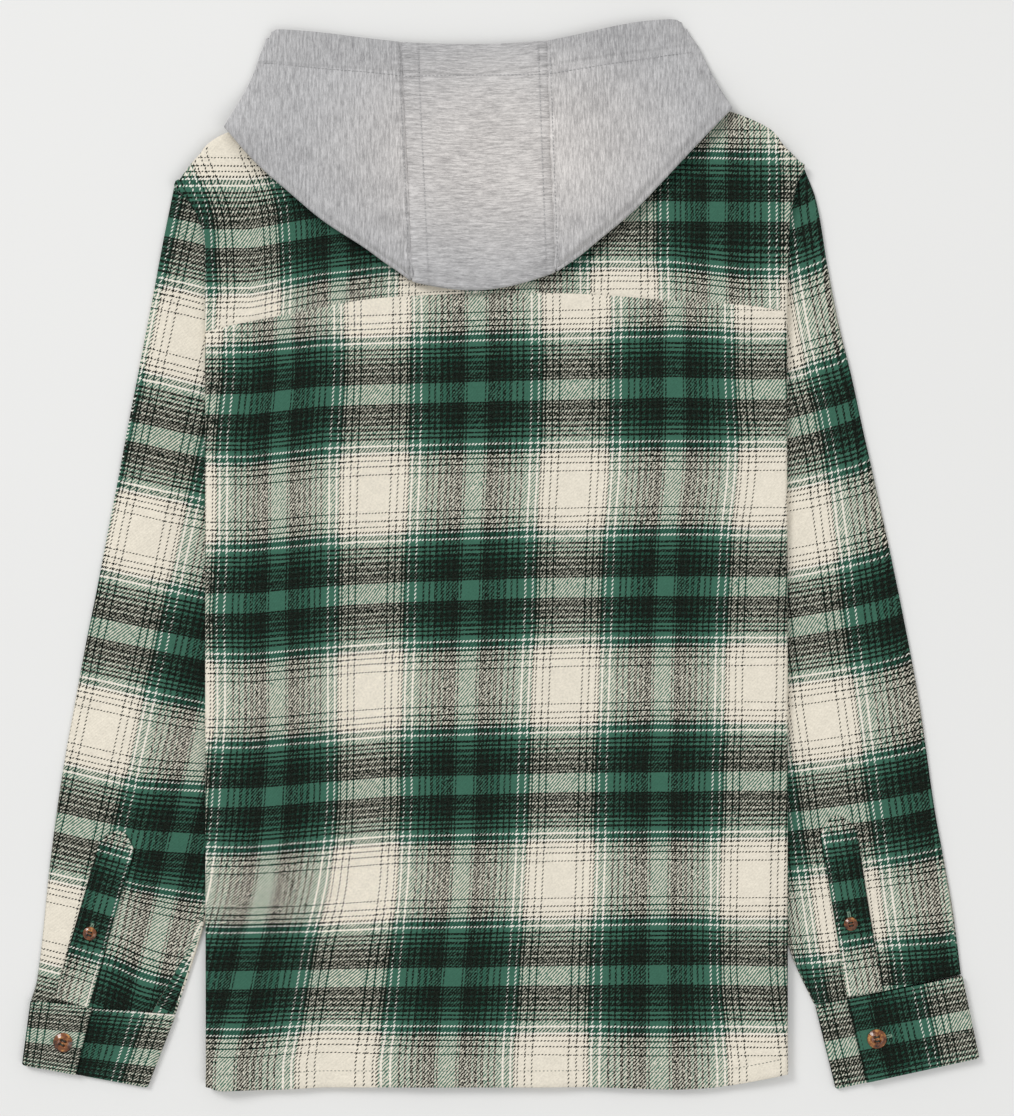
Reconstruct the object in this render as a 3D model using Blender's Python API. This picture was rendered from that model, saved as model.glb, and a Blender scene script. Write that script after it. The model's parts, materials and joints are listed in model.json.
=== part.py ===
"""A hooded flannel shirt lying flat, back side up, as separate sewn pieces.

Sizes are in millimetres until a mesh is made. X runs across the shirt, Y from hem to hood, and Z up
from the surface that it lies on. Every cloth piece is a grid of points on the middle of the cloth,
given a wall by moving a copy of the grid out along its normals to each side.
"""

from collections import namedtuple

import bpy
import numpy as np

MM = 0.001

# The points of a fold's half circle, between its two ends
TURN = np.radians([45.0, 90.0, 135.0])
INNER_TURN = np.radians([60.0, 120.0])

# Cloth
FLANNEL = 1.2
JERSEY = 2.0
CUFF_CLOTH = 2.0
SEAM_GAP = 0.3
LAYER = FLANNEL + SEAM_GAP
SLEEVE_STACK = 2 * LAYER
STRIP_STACK = 2 * LAYER
BACK_TURN_RADIUS = 1.5 * LAYER

# Body
BODY_CENTRE_X = -3.0
UNDERARM_Y = 24.0
ARMHOLE_SHOWS_Y = 236.0
TURNED_UNDER = 70.0
TURNED_AT_SHOULDER = 4.0
TURNED_TAPER = 1.2
STRIP_CELLS = 3
CENTRE_CELLS = 8
BACK_ROWS = 11
YOKE_ROWS = 7
NECK_HALF_WIDTH = 80.0
NECK_SQUARENESS = 2.5
BACK_NECK_DROP = 18.0
FRONT_NECK_DROP = 78.0
SLEEVE_MARGIN = 26.0
SLEEVE_RAMP = 46.0
STRIP_RAMP = 34.0
VALLEY_FILL = 2.4

# Front band and its buttons
BAND_WIDTH = 34.0
BAND_ROWS = 12
BAND_INSET = 3.0
BAND_TOP_BUTTON = 18.0
BAND_LAST_BUTTON = 75.0
BAND_MARGIN = 3.0
BAND_RAMP = 46.0
FRONT_BUTTONS = 7
FRONT_BUTTON_DIAMETER = 11.5
CUFF_BUTTON_DIAMETER = 14.0
PLACKET_BUTTON_DIAMETER = 10.0
BUTTON_THICKNESS = 2.4
BUTTON_SIDES = 20
HOLE_SIDES = 8
HOLE_RADIUS_SHARE = 0.065
HOLE_PLACE_SHARE = 0.11

# Sleeves
SLEEVE_ROWS = 13
SLEEVE_CELLS = 9
SLEEVE_PUFF = 2.4
PUFF_STARTS = 5.0
PUFF_RISE = 30.0
ARMHOLE_LAP = 3.5
CAP_SHARE = 0.18
BOW_FADES = 0.7
PLACKET_WIDTH = 25.0
PLACKET_TIP = 11.0
PLACKET_AIR = 0.15
PLACKET_LIFT = LAYER + PLACKET_AIR
PLACKET_FOOT_GAP = 1.0
PLACKET_STATIONS = (0.6, PLACKET_TIP, 30.0, 50.0, 70.0, 90.0, 110.0)
BUTTON_SEAT = 0.45
BUTTON_LIFT = PLACKET_LIFT + FLANNEL / 2 + BUTTON_SEAT

# Cuffs
CUFF_ROWS = 3
CUFF_LAYER = CUFF_CLOTH + SEAM_GAP
UNDERLAP = 0.2

# Hood
HOOD_BASE = 9.2
HOOD_FALL = 34.0
HOOD_AIR = 0.6
HOOD_LAYER = JERSEY + HOOD_AIR
HOOD_ROWS = 9
HOOD_CELLS = 5
GUSSET_CELLS = 4
HOOD_NECK_Y = 322.0
NECK_CORNER_SHARE = 0.375
NECK_SEAM_SHARE = 0.5
THROAT_DROP = 6.0
UNDER_FOOT_RISE = 9.0
FOOT_DIP = 9.0

BodyEdge = namedtuple("BodyEdge", "y left right")
BODY_EDGES = (
    BodyEdge(y=-390, left=-214.5, right=208.5),
    BodyEdge(y=-100, left=-215.0, right=208.5),
    BodyEdge(y=110, left=-215.0, right=208.0),
    BodyEdge(y=221, left=-215.0, right=208.8),
    BodyEdge(y=232, left=-216.5, right=209.4),
    BodyEdge(y=247, left=-221.3, right=210.7),
    BodyEdge(y=258, left=-228.5, right=212.8),
    BodyEdge(y=268, left=-238.0, right=215.2),
    BodyEdge(y=283, left=-238.0, right=222.5),
)

HemPoint = namedtuple("HemPoint", "x hem")
HEM = (
    HemPoint(x=-215, hem=-386.0),
    HemPoint(x=-204, hem=-389.6),
    HemPoint(x=-165, hem=-389.2),
    HemPoint(x=-125, hem=-387.5),
    HemPoint(x=60, hem=-387.3),
    HemPoint(x=125, hem=-389.0),
    HemPoint(x=150, hem=-388.0),
    HemPoint(x=174, hem=-384.8),
    HemPoint(x=192, hem=-381.2),
    HemPoint(x=209, hem=-377.5),
)

SeamPoint = namedtuple("SeamPoint", "x yoke_seam shoulder")
ACROSS = (
    SeamPoint(x=-238, yoke_seam=157.0, shoulder=269.0),
    SeamPoint(x=-228, yoke_seam=158.8, shoulder=283.5),
    SeamPoint(x=-215, yoke_seam=161.0, shoulder=295.5),
    SeamPoint(x=-200, yoke_seam=164.5, shoulder=304.5),
    SeamPoint(x=-163, yoke_seam=172.0, shoulder=318.0),
    SeamPoint(x=-83, yoke_seam=186.0, shoulder=338.0),
    SeamPoint(x=-7, yoke_seam=189.0, shoulder=340.0),
    SeamPoint(x=45, yoke_seam=189.0, shoulder=342.0),
    SeamPoint(x=77, yoke_seam=187.5, shoulder=343.0),
    SeamPoint(x=120, yoke_seam=184.0, shoulder=335.0),
    SeamPoint(x=168, yoke_seam=181.0, shoulder=320.0),
    SeamPoint(x=196, yoke_seam=177.5, shoulder=307.0),
    SeamPoint(x=222, yoke_seam=173.0, shoulder=283.0),
)

EdgePoint = namedtuple("EdgePoint", "x y")
SleeveShape = namedtuple(
    "SleeveShape", "side outer inner cuff_outer cuff_inner placket_tip placket_foot placket_button"
    " cuff_button overlap_end"
)
SLEEVES = (
    SleeveShape(
        side="left",
        outer=(
            EdgePoint(-238, 266.5), EdgePoint(-264, 131), EdgePoint(-290, -5), EdgePoint(-308, -97),
            EdgePoint(-322, -177.5), EdgePoint(-329, -231.5), EdgePoint(-338, -312),
            EdgePoint(-342, -325),
        ),
        inner=(
            EdgePoint(-141, 24), EdgePoint(-162, -60), EdgePoint(-191, -172), EdgePoint(-217, -274),
            EdgePoint(-237, -335),
        ),
        cuff_outer=(EdgePoint(-342.5, -326), EdgePoint(-348.5, -371)),
        cuff_inner=(EdgePoint(-237, -336.5), EdgePoint(-257, -388)),
        placket_tip=EdgePoint(-276, -202),
        placket_foot=EdgePoint(-312.5, -327),
        placket_button=EdgePoint(-298.5, -276),
        cuff_button=EdgePoint(-318, -355),
        overlap_end=0.41,
    ),
    SleeveShape(
        side="right",
        outer=(
            EdgePoint(221, 280), EdgePoint(229, 258), EdgePoint(237, 212), EdgePoint(245, 170),
            EdgePoint(254, 133), EdgePoint(265, 83), EdgePoint(283, 2), EdgePoint(304, -105),
            EdgePoint(317, -193.5), EdgePoint(328, -253), EdgePoint(335, -306),
        ),
        inner=(
            EdgePoint(134, 24), EdgePoint(150, -60), EdgePoint(180, -185), EdgePoint(213, -296),
            EdgePoint(228, -328),
        ),
        cuff_outer=(EdgePoint(336, -308), EdgePoint(348, -366)),
        cuff_inner=(EdgePoint(229, -330), EdgePoint(243.5, -389)),
        placket_tip=EdgePoint(243.5, -191),
        placket_foot=EdgePoint(264.5, -320.5),
        placket_button=EdgePoint(254, -269),
        cuff_button=EdgePoint(273, -352.5),
        overlap_end=0.79,
    ),
)

Pleat = namedtuple("Pleat", "side top_x top_y foot_x foot_y half_width height")
PLEATS = (
    Pleat(side="right", top_x=291, top_y=-250, foot_x=294, foot_y=-318, half_width=12, height=1.3),
    Pleat(side="left", top_x=-232, top_y=-276, foot_x=-256, foot_y=-336, half_width=12, height=0.9),
)

HoodFold = namedtuple("HoodFold", "share x y")
HoodSide = namedtuple("HoodSide", "side fold gusset_top gusset_foot neck_corner throat_x")
HOOD_SIDES = (
    HoodSide(
        side="left",
        fold=(
            HoodFold(0.0, -168, 380), HoodFold(0.125, -174.5, 356), HoodFold(0.25, -185, 331.5),
            HoodFold(0.375, -197.5, 309), HoodFold(0.5, -174, 283), HoodFold(0.625, -152, 263.5),
            HoodFold(0.75, -126.5, 242), HoodFold(0.875, -101, 225), HoodFold(1.0, -76, 208.7),
        ),
        gusset_top=EdgePoint(-72.3, 370.5),
        gusset_foot=EdgePoint(-64.3, 199.5),
        neck_corner=EdgePoint(-83, 336),
        throat_x=-132,
    ),
    HoodSide(
        side="right",
        fold=(
            HoodFold(0.0, 132.5, 387), HoodFold(0.125, 144, 362), HoodFold(0.25, 154.5, 339.5),
            HoodFold(0.375, 164.5, 322.5), HoodFold(0.5, 141, 298.5), HoodFold(0.625, 119, 275),
            HoodFold(0.75, 95, 250), HoodFold(0.875, 72, 230.5), HoodFold(1.0, 50, 213.5),
        ),
        gusset_top=EdgePoint(33.3, 371.5),
        gusset_foot=EdgePoint(39.3, 206),
        neck_corner=EdgePoint(77, 341),
        throat_x=98,
    ),
)

Finish = namedtuple("Finish", "colour roughness")
FLANNEL_FINISH = Finish(colour=(0.09, 0.19, 0.14), roughness=0.95)
JERSEY_FINISH = Finish(colour=(0.42, 0.42, 0.44), roughness=0.95)
BUTTON_FINISH = Finish(colour=(0.26, 0.09, 0.03), roughness=0.3)


def smooth(value):
    """0 below 0, 1 above 1, and an S-curve between."""
    part = np.clip(value, 0.0, 1.0)
    return part * part * (3.0 - 2.0 * part)


def read_table(rows, column, at):
    """A column of a table, read between its rows; the first field is the position."""
    positions = [row[0] for row in rows]
    values = [getattr(row, column) for row in rows]
    return np.interp(at, positions, values)


def along(points, share):
    """The points of an open line at shares of its length."""
    corners = np.array([(point.x, point.y) for point in points], float)
    steps = np.hypot(*np.diff(corners, axis=0).T)
    travelled = np.concatenate([[0.0], np.cumsum(steps)]) / steps.sum()
    return np.stack([np.interp(share, travelled, corners[:, axis]) for axis in (0, 1)], axis=-1)


def grid_normals(grid, joined):
    """The unit normals of a grid of points, from the differences along its rows and columns."""
    if joined:
        across = np.roll(grid, -1, axis=1) - np.roll(grid, 1, axis=1)
    else:
        across = np.gradient(grid, axis=1)
    normals = np.cross(across, np.gradient(grid, axis=0))
    return normals / np.linalg.norm(normals, axis=-1, keepdims=True)


def add_object(name, points, faces, finish):
    """One mesh object, from points in millimetres, with its own material."""
    mesh = bpy.data.meshes.new(name)
    mesh.from_pydata((np.asarray(points) * MM).tolist(), [], faces)
    mesh.update()
    material = bpy.data.materials.new(name)
    material.use_nodes = True
    shader = material.node_tree.nodes["Principled BSDF"]
    shader.inputs["Base Color"].default_value = (*finish.colour, 1.0)
    shader.inputs["Roughness"].default_value = finish.roughness
    shader.inputs["Metallic"].default_value = 0.0
    mesh.materials.append(material)
    built = bpy.data.objects.new(name, mesh)
    bpy.context.scene.collection.objects.link(built)
    return built


def cell_triangles(corners, leftward):
    """Two triangles of a cell, split the same way in plan whichever way its columns run."""
    near, right, far, up = corners
    if leftward:
        return [near, right, up], [right, far, up]
    return [near, right, far], [near, far, up]


def cloth_wall(name, grid, thickness, finish, joined=False):
    """A closed wall of even thickness on a grid; a joined grid closes on itself along its rows."""
    rows, columns = grid.shape[:2]
    half = grid_normals(grid, joined) * thickness / 2
    points = np.concatenate([(grid + half).reshape(-1, 3), (grid - half).reshape(-1, 3)])
    under = rows * columns
    index = np.arange(under).reshape(rows, columns).tolist()
    spans = columns if joined else columns - 1
    leftward = np.roll(grid[..., 0], -1, axis=1) < grid[..., 0]
    faces = []
    for row in range(rows - 1):
        for column in range(spans):
            beside = (column + 1) % columns
            near, far = index[row], index[row + 1]
            corners = (near[column], near[beside], far[beside], far[column])
            for triangle in cell_triangles(corners, leftward[row, column]):
                faces.append(triangle)
                faces.append([corner + under for corner in reversed(triangle)])
    edges = [(index[0][(column + 1) % columns], index[0][column]) for column in range(spans)]
    edges += [(index[-1][column], index[-1][(column + 1) % columns]) for column in range(spans)]
    if not joined:
        edges += [(index[row][0], index[row + 1][0]) for row in range(rows - 1)]
        edges += [(index[row + 1][-1], index[row][-1]) for row in range(rows - 1)]
    faces += [[near, far, far + under, near + under] for near, far in edges]
    return add_object(name, points, faces, finish)


# Heights of the layers


def turned_width(y):
    """How much of the body is turned under its side fold at a height."""
    rest = 1.0 - np.clip((y - UNDERARM_Y) / (ARMHOLE_SHOWS_Y - UNDERARM_Y), 0.0, 1.0)
    return TURNED_AT_SHOULDER + (TURNED_UNDER - TURNED_AT_SHOULDER) * rest**TURNED_TAPER


def fold_x(y, side):
    """The side fold of the body's middle surface, set in by the reach of the outer turn."""
    outward = -1.0 if side == "left" else 1.0
    return read_table(BODY_EDGES, side, y) - outward * (BACK_TURN_RADIUS + FLANNEL / 2)


def inner_limit(y, side):
    """The innermost x that the sleeve reaches under the body."""
    outward = -1.0 if side == "left" else 1.0
    armhole = fold_x(y, side) - outward * (turned_width(y) + ARMHOLE_LAP)
    shape = next(sleeve for sleeve in SLEEVES if sleeve.side == side)
    edge = shape.inner[::-1]
    below = np.interp(y, [point.y for point in edge], [point.x for point in edge])
    return np.where(y > UNDERARM_Y, armhole, below)


def over_sleeves(x, y):
    """1 over a sleeve and its margin, falling to 0 on the surface."""
    left = 1.0 - smooth((x - inner_limit(y, "left") - SLEEVE_MARGIN) / SLEEVE_RAMP)
    right = 1.0 - smooth((inner_limit(y, "right") - x - SLEEVE_MARGIN) / SLEEVE_RAMP)
    return np.maximum(left, right)


def over_strips(x, y):
    """1 over the turned-under strips, falling to 0 inside them."""
    left = 1.0 - smooth((x - fold_x(y, "left") - turned_width(y)) / STRIP_RAMP)
    right = 1.0 - smooth((fold_x(y, "right") - turned_width(y) - x) / STRIP_RAMP)
    return np.maximum(left, right)


def over_band(x):
    """1 over the front band and its buttons, falling to 0 beside it."""
    beside = np.abs(x - BODY_CENTRE_X) - BAND_WIDTH / 2 - BAND_MARGIN
    return 1.0 - smooth(beside / BAND_RAMP)


def front_height(x, y):
    """The middle of the front's cloth."""
    band_stack = BUTTON_THICKNESS + SEAM_GAP + LAYER
    lift = SLEEVE_STACK * over_sleeves(x, y) + STRIP_STACK * over_strips(x, y)
    return FLANNEL / 2 + lift + band_stack * over_band(x)


def back_height(x, y):
    """The middle of the back's cloth, which spans the hollows of the front."""
    hollow = 1.0 - np.maximum(over_strips(x, y), over_band(x))
    return front_height(x, y) + LAYER + VALLEY_FILL * hollow


def pleat_height(x, y, pleat):
    """A soft ridge along a line, rising from nothing at its top to its full height at its foot."""
    run_x, run_y = pleat.foot_x - pleat.top_x, pleat.foot_y - pleat.top_y
    length = np.hypot(run_x, run_y)
    down = ((x - pleat.top_x) * run_x + (y - pleat.top_y) * run_y) / length**2
    beside = np.abs((x - pleat.top_x) * run_y - (y - pleat.top_y) * run_x) / length
    return pleat.height * (1.0 - smooth(beside / pleat.half_width)) * smooth(down)


def sleeve_height(x, y, shape):
    """The middle of a sleeve's upper layer: flat under the body, a low crown where it shows."""
    outward = -1.0 if shape.side == "left" else 1.0
    outer_y = [point.y for point in shape.outer[::-1]]
    outer_x = [point.x for point in shape.outer[::-1]]
    outer = np.interp(y, outer_y, outer_x)
    inner = outward * np.maximum(outward * inner_limit(y, shape.side), outward * fold_x(y, shape.side))
    across = np.clip((x - inner) / (outer - inner), 0.0, 1.0)
    clear = smooth((outward * (x - fold_x(y, shape.side)) - PUFF_STARTS) / PUFF_RISE)
    crown = SLEEVE_PUFF * np.sin(np.pi * across) * clear
    pleats = sum(pleat_height(x, y, pleat) for pleat in PLEATS if pleat.side == shape.side)
    return FLANNEL / 2 + LAYER + crown + pleats * clear


# Body


def hem_y(x):
    """The hem, straight with its right corner curved up."""
    return read_table(HEM, "hem", x)


def body_x(y_left, y_right):
    """The x of the body's columns from the left fold to the right fold at given heights."""
    strip = np.arange(STRIP_CELLS + 1) / STRIP_CELLS
    centre = np.arange(1, CENTRE_CELLS) / CENTRE_CELLS
    left_fold, right_fold = fold_x(y_left, "left"), fold_x(y_right, "right")
    left_seam = left_fold + turned_width(y_left)
    right_seam = right_fold - turned_width(y_right)
    left = left_fold + (left_seam - left_fold) * strip
    right = right_seam + (right_fold - right_seam) * strip
    first = left_seam + (BODY_CENTRE_X - left_seam) * centre
    second = BODY_CENTRE_X + (right_seam - BODY_CENTRE_X) * centre
    return np.concatenate([left, first, [BODY_CENTRE_X], second, right])


def body_points(level, neck_drop):
    """The plan of one row of the body: level 0 is the hem, 1 the yoke seam and 2 the shoulder."""
    x = np.linspace(-212.0, 206.0, 2 * (STRIP_CELLS + CENTRE_CELLS) + 1)
    for _ in range(4):
        seam = read_table(ACROSS, "yoke_seam", x)
        from_centre = np.clip(np.abs(x - BODY_CENTRE_X) / NECK_HALF_WIDTH, 0.0, 1.0)
        neck = neck_drop * np.sqrt(np.clip(1.0 - from_centre**NECK_SQUARENESS, 0.0, 1.0))
        top = read_table(ACROSS, "shoulder", x) - neck
        if level <= 1:
            y = hem_y(x) + (seam - hem_y(x)) * level
        else:
            y = seam + (top - seam) * (level - 1)
        x = body_x(y[0], y[-1])
    return x, y


def side_turn(x, y, z_main, z_strip, outward):
    """A strip from its seam edge out to the side fold, and the bend that joins it to the main layer."""
    count = STRIP_CELLS + 1
    zone = np.arange(count)[::-1] if outward < 0 else np.arange(len(x) - count, len(x))
    strip = np.column_stack([x[zone], y[zone], z_strip[zone]])
    end = zone[-1]
    radius = (z_main[end] - z_strip[end]) / 2
    bend = np.column_stack(
        [
            x[end] + outward * radius * np.sin(TURN),
            np.full(len(TURN), y[end]),
            z_strip[end] + radius * (1.0 - np.cos(TURN)),
        ]
    )
    return np.concatenate([strip, bend])


def body_grid(levels, neck_drop, height, strip_rise, sides=("left", "right")):
    """The rows of one body piece: each from a strip, round its fold and over, for the named sides."""
    centre = STRIP_CELLS + CENTRE_CELLS
    rows = []
    for level in levels:
        x, y = body_points(level, neck_drop)
        z_main = height(x, y)
        z_strip = FLANNEL / 2 + SLEEVE_STACK * over_sleeves(x, y) + strip_rise
        row = np.column_stack([x, y, z_main])
        right_turn = side_turn(x, y, z_main, z_strip, 1.0)[::-1]
        left_turn = side_turn(x, y, z_main, z_strip, -1.0)
        if sides == ("left",):
            row = row[: centre + 1]
            row[-1, 0] -= SEAM_GAP
        elif sides == ("right",):
            row = row[centre:]
            row[0, 0] += SEAM_GAP
        pieces = [row]
        if "left" in sides:
            pieces.insert(0, left_turn)
        if "right" in sides:
            pieces.append(right_turn)
        rows.append(np.concatenate(pieces))
    return np.array(rows)


def build_body():
    """The back, the yoke and the two fronts."""
    back_levels = np.linspace(0.0, 1.0, BACK_ROWS)
    yoke_levels = np.linspace(1.0, 2.0, YOKE_ROWS)
    back = body_grid(back_levels, BACK_NECK_DROP, back_height, 0.0)
    yoke = body_grid(yoke_levels, BACK_NECK_DROP, back_height, 0.0)
    back[-1, :, 1] -= SEAM_GAP / 2
    yoke[0, :, 1] += SEAM_GAP / 2
    cloth_wall("back", back, FLANNEL, FLANNEL_FINISH)
    cloth_wall("yoke", yoke, FLANNEL, FLANNEL_FINISH)
    front_levels = np.concatenate([back_levels, yoke_levels[1:]])
    for side in ("left", "right"):
        front = body_grid(front_levels, FRONT_NECK_DROP, front_height, LAYER, (side,))
        cloth_wall(f"front_{side}", front, FLANNEL, FLANNEL_FINISH)


def build_band():
    """The button band under the centre front, and the buttons under the band."""
    bottom = float(hem_y(BODY_CENTRE_X)) + BAND_INSET
    top = float(read_table(ACROSS, "shoulder", BODY_CENTRE_X)) - FRONT_NECK_DROP - BAND_INSET
    y = np.linspace(bottom, top, BAND_ROWS)
    x = BODY_CENTRE_X + np.linspace(-0.5, 0.5, 3) * BAND_WIDTH
    z = BUTTON_THICKNESS + SEAM_GAP + FLANNEL / 2
    grid = np.stack([*np.meshgrid(x, y), np.full((len(y), len(x)), z)], axis=-1)
    cloth_wall("front_band", grid, FLANNEL, FLANNEL_FINISH)
    places = np.linspace(top - BAND_TOP_BUTTON, bottom + BAND_LAST_BUTTON, FRONT_BUTTONS)
    for number, place in enumerate(places, start=1):
        centre = (BODY_CENTRE_X, place, 0.0)
        build_button(f"front_button_{number}", FRONT_BUTTON_DIAMETER, centre, face_down=True)


# Sleeves and cuffs


def armhole_line(shape, share):
    """The sleeve's armhole end in plan, from the shoulder to the underarm."""
    shoulder = shape.outer[0]
    y = shoulder.y + (UNDERARM_Y - shoulder.y) * share
    x = inner_limit(y, shape.side)
    reach = shoulder.x - x[0]
    return np.stack([x + reach * (1.0 - smooth(share / CAP_SHARE)), y], axis=-1)


def sleeve_grid(shape):
    """Rings down the sleeve, each over the top and back under, from the armhole to the cuff seam."""
    outward = -1.0 if shape.side == "left" else 1.0
    across = 0.5 - 0.5 * np.cos(np.linspace(0.0, np.pi, SLEEVE_CELLS + 1))
    start = armhole_line(shape, across)
    rows = []
    for step in np.linspace(0.0, 1.0, SLEEVE_ROWS):
        outer = along(shape.outer, step)
        inner = along(shape.inner, step)
        straight = outer + (inner - outer) * across[:, None]
        bowed = start - (start[0] + (start[-1] - start[0]) * across[:, None])
        plan = straight + bowed * (1.0 - smooth(step / BOW_FADES))
        top = sleeve_height(plan[:, 0], plan[:, 1], shape)
        under = np.full(len(plan), FLANNEL / 2)
        outer_tip = [[*plan[0], (top[0] + under[0]) / 2]]
        inner_tip = [[*plan[-1], (top[-1] + under[-1]) / 2]]
        inset = (plan[-1] - plan[0]) / np.linalg.norm(plan[-1] - plan[0]) * LAYER / 2
        plan[0] += inset
        plan[-1] -= inset
        over = np.column_stack([plan, top])
        below = np.column_stack([plan, under])[::-1]
        ring = np.concatenate([outer_tip, over, inner_tip, below])
        rows.append(ring if outward < 0 else ring[::-1])
    return np.array(rows)


def placket_grid(shape):
    """A strip with a pointed tip on the sleeve, worked out from the sleeve's own height."""
    tip = np.array([shape.placket_tip.x, shape.placket_tip.y])
    foot = np.array([shape.placket_foot.x, shape.placket_foot.y])
    length = np.linalg.norm(foot - tip)
    down = (foot - tip) / length
    side = np.array([-down[1], down[0]])
    rows = []
    for travelled in (*PLACKET_STATIONS, length - PLACKET_FOOT_GAP):
        half = PLACKET_WIDTH / 2 * min(travelled / PLACKET_TIP, 1.0) + FLANNEL / 2
        offsets = np.linspace(-1.0, 1.0, 5)[:, None] * half
        plan = tip + down * travelled + side * offsets
        z = sleeve_height(plan[:, 0], plan[:, 1], shape) + PLACKET_LIFT
        rows.append(np.column_stack([plan, z]))
    return np.array(rows)


def cuff_grid(shape):
    """A strip wrapped flat: the hidden end, over the top, round under, and up on top of itself."""
    under, level, lap = CUFF_CLOTH / 2, CUFF_CLOTH / 2 + CUFF_LAYER, CUFF_CLOTH / 2 + 2 * CUFF_LAYER
    hidden = np.linspace(shape.overlap_end - UNDERLAP, 1.0, 6)
    below = np.linspace(1.0, 0.0, 6)
    shown = np.linspace(0.0, shape.overlap_end, 5)
    path = [(share, level, 0.0) for share in hidden]
    radius = CUFF_LAYER / 2
    path += [(1.0, under + radius + radius * np.cos(turn), radius * np.sin(turn)) for turn in INNER_TURN]
    path += [(share, under, 0.0) for share in below]
    radius = CUFF_LAYER
    path += [(0.0, under + radius - radius * np.cos(turn), -radius * np.sin(turn)) for turn in TURN]
    path += [(share, lap, 0.0) for share in shown]
    rows = []
    for step in np.linspace(0.0, 1.0, CUFF_ROWS):
        outer = along(shape.cuff_outer, step)
        inner = along(shape.cuff_inner, step)
        width = np.linalg.norm(inner - outer)
        direction = (inner - outer) / width
        start = outer + direction * (CUFF_LAYER + CUFF_CLOTH / 2)
        reach = width - CUFF_LAYER - CUFF_CLOTH - CUFF_LAYER / 2
        row = [(*(start + direction * (reach * share + beyond)), z) for share, z, beyond in path]
        rows.append(row)
    return np.array(rows)


def build_sleeves():
    """Both sleeves with their plackets, cuffs and buttons."""
    for shape in SLEEVES:
        cloth_wall(f"sleeve_{shape.side}", sleeve_grid(shape), FLANNEL, FLANNEL_FINISH, joined=True)
        cloth_wall(f"sleeve_placket_{shape.side}", placket_grid(shape), FLANNEL, FLANNEL_FINISH)
        cloth_wall(f"cuff_{shape.side}", cuff_grid(shape), CUFF_CLOTH, FLANNEL_FINISH)
        place = shape.placket_button
        top = float(sleeve_height(np.array([place.x]), np.array([place.y]), shape)[0])
        name = f"placket_button_{shape.side}"
        build_button(name, PLACKET_BUTTON_DIAMETER, (place.x, place.y, top + BUTTON_LIFT))
        place = shape.cuff_button
        height = CUFF_CLOTH + 2 * CUFF_LAYER + SEAM_GAP
        build_button(f"cuff_button_{shape.side}", CUFF_BUTTON_DIAMETER, (place.x, place.y, height))


# Hood


def hood_height(x, y):
    """The middle of the hood's under layer: over the shirt, and down to the surface past the shoulders."""
    shoulder = read_table(ACROSS, "shoulder", x)
    past = (y - shoulder) / HOOD_FALL
    return JERSEY / 2 + HOOD_BASE * (1.0 - smooth(past))


def hood_side_grid(shape):
    """One side panel: from the gusset seam across the top, round the fold, and back underneath."""
    outward = -1.0 if shape.side == "left" else 1.0
    spread = np.linspace(0.0, 1.0, HOOD_CELLS + 1)
    rows = []
    for share in np.linspace(0.0, 1.0, HOOD_ROWS):
        fold = np.array([read_table(shape.fold, "x", share), read_table(shape.fold, "y", share)])
        seam = np.array(
            [
                shape.gusset_top.x + (shape.gusset_foot.x - shape.gusset_top.x) * share,
                shape.gusset_top.y + (shape.gusset_foot.y - shape.gusset_top.y) * share,
            ]
        )
        end = under_end(shape, share)
        outline_out = fold - seam
        outline_out = outline_out / np.linalg.norm(outline_out)
        upper = seam + (fold - seam) * spread[:, None]
        lower = fold + (end - fold) * spread[:, None]
        upper_z = hood_height(upper[:, 0], upper[:, 1]) + HOOD_LAYER
        lower_z = hood_height(lower[:, 0], lower[:, 1])
        radius = (upper_z[-1] - lower_z[0]) / 2
        middle = (upper_z[-1] + lower_z[0]) / 2
        bend_plan = fold + outline_out * (radius * np.sin(TURN))[:, None]
        bend = np.column_stack([bend_plan, middle + radius * np.cos(TURN)])
        row = np.concatenate([np.column_stack([upper, upper_z]), bend, np.column_stack([lower, lower_z])])
        rows.append(row)
    grid = np.array(rows)
    return grid if outward < 0 else grid[:, ::-1]


def under_end(shape, share):
    """Where a side panel's under layer ends: the throat, then the neck seam, then the gusset seam."""
    throat = np.array([shape.throat_x, shape.fold[0].y - THROAT_DROP])
    corner = np.array([shape.neck_corner.x, shape.neck_corner.y])
    seam_top = np.array([shape.gusset_foot.x, HOOD_NECK_Y])
    foot = np.array([shape.gusset_foot.x, shape.gusset_foot.y + UNDER_FOOT_RISE])
    stops = (0.0, NECK_CORNER_SHARE, NECK_SEAM_SHARE, 1.0)
    line = np.array([throat, corner, seam_top, foot])
    return np.array([np.interp(share, stops, line[:, axis]) for axis in (0, 1)])


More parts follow.
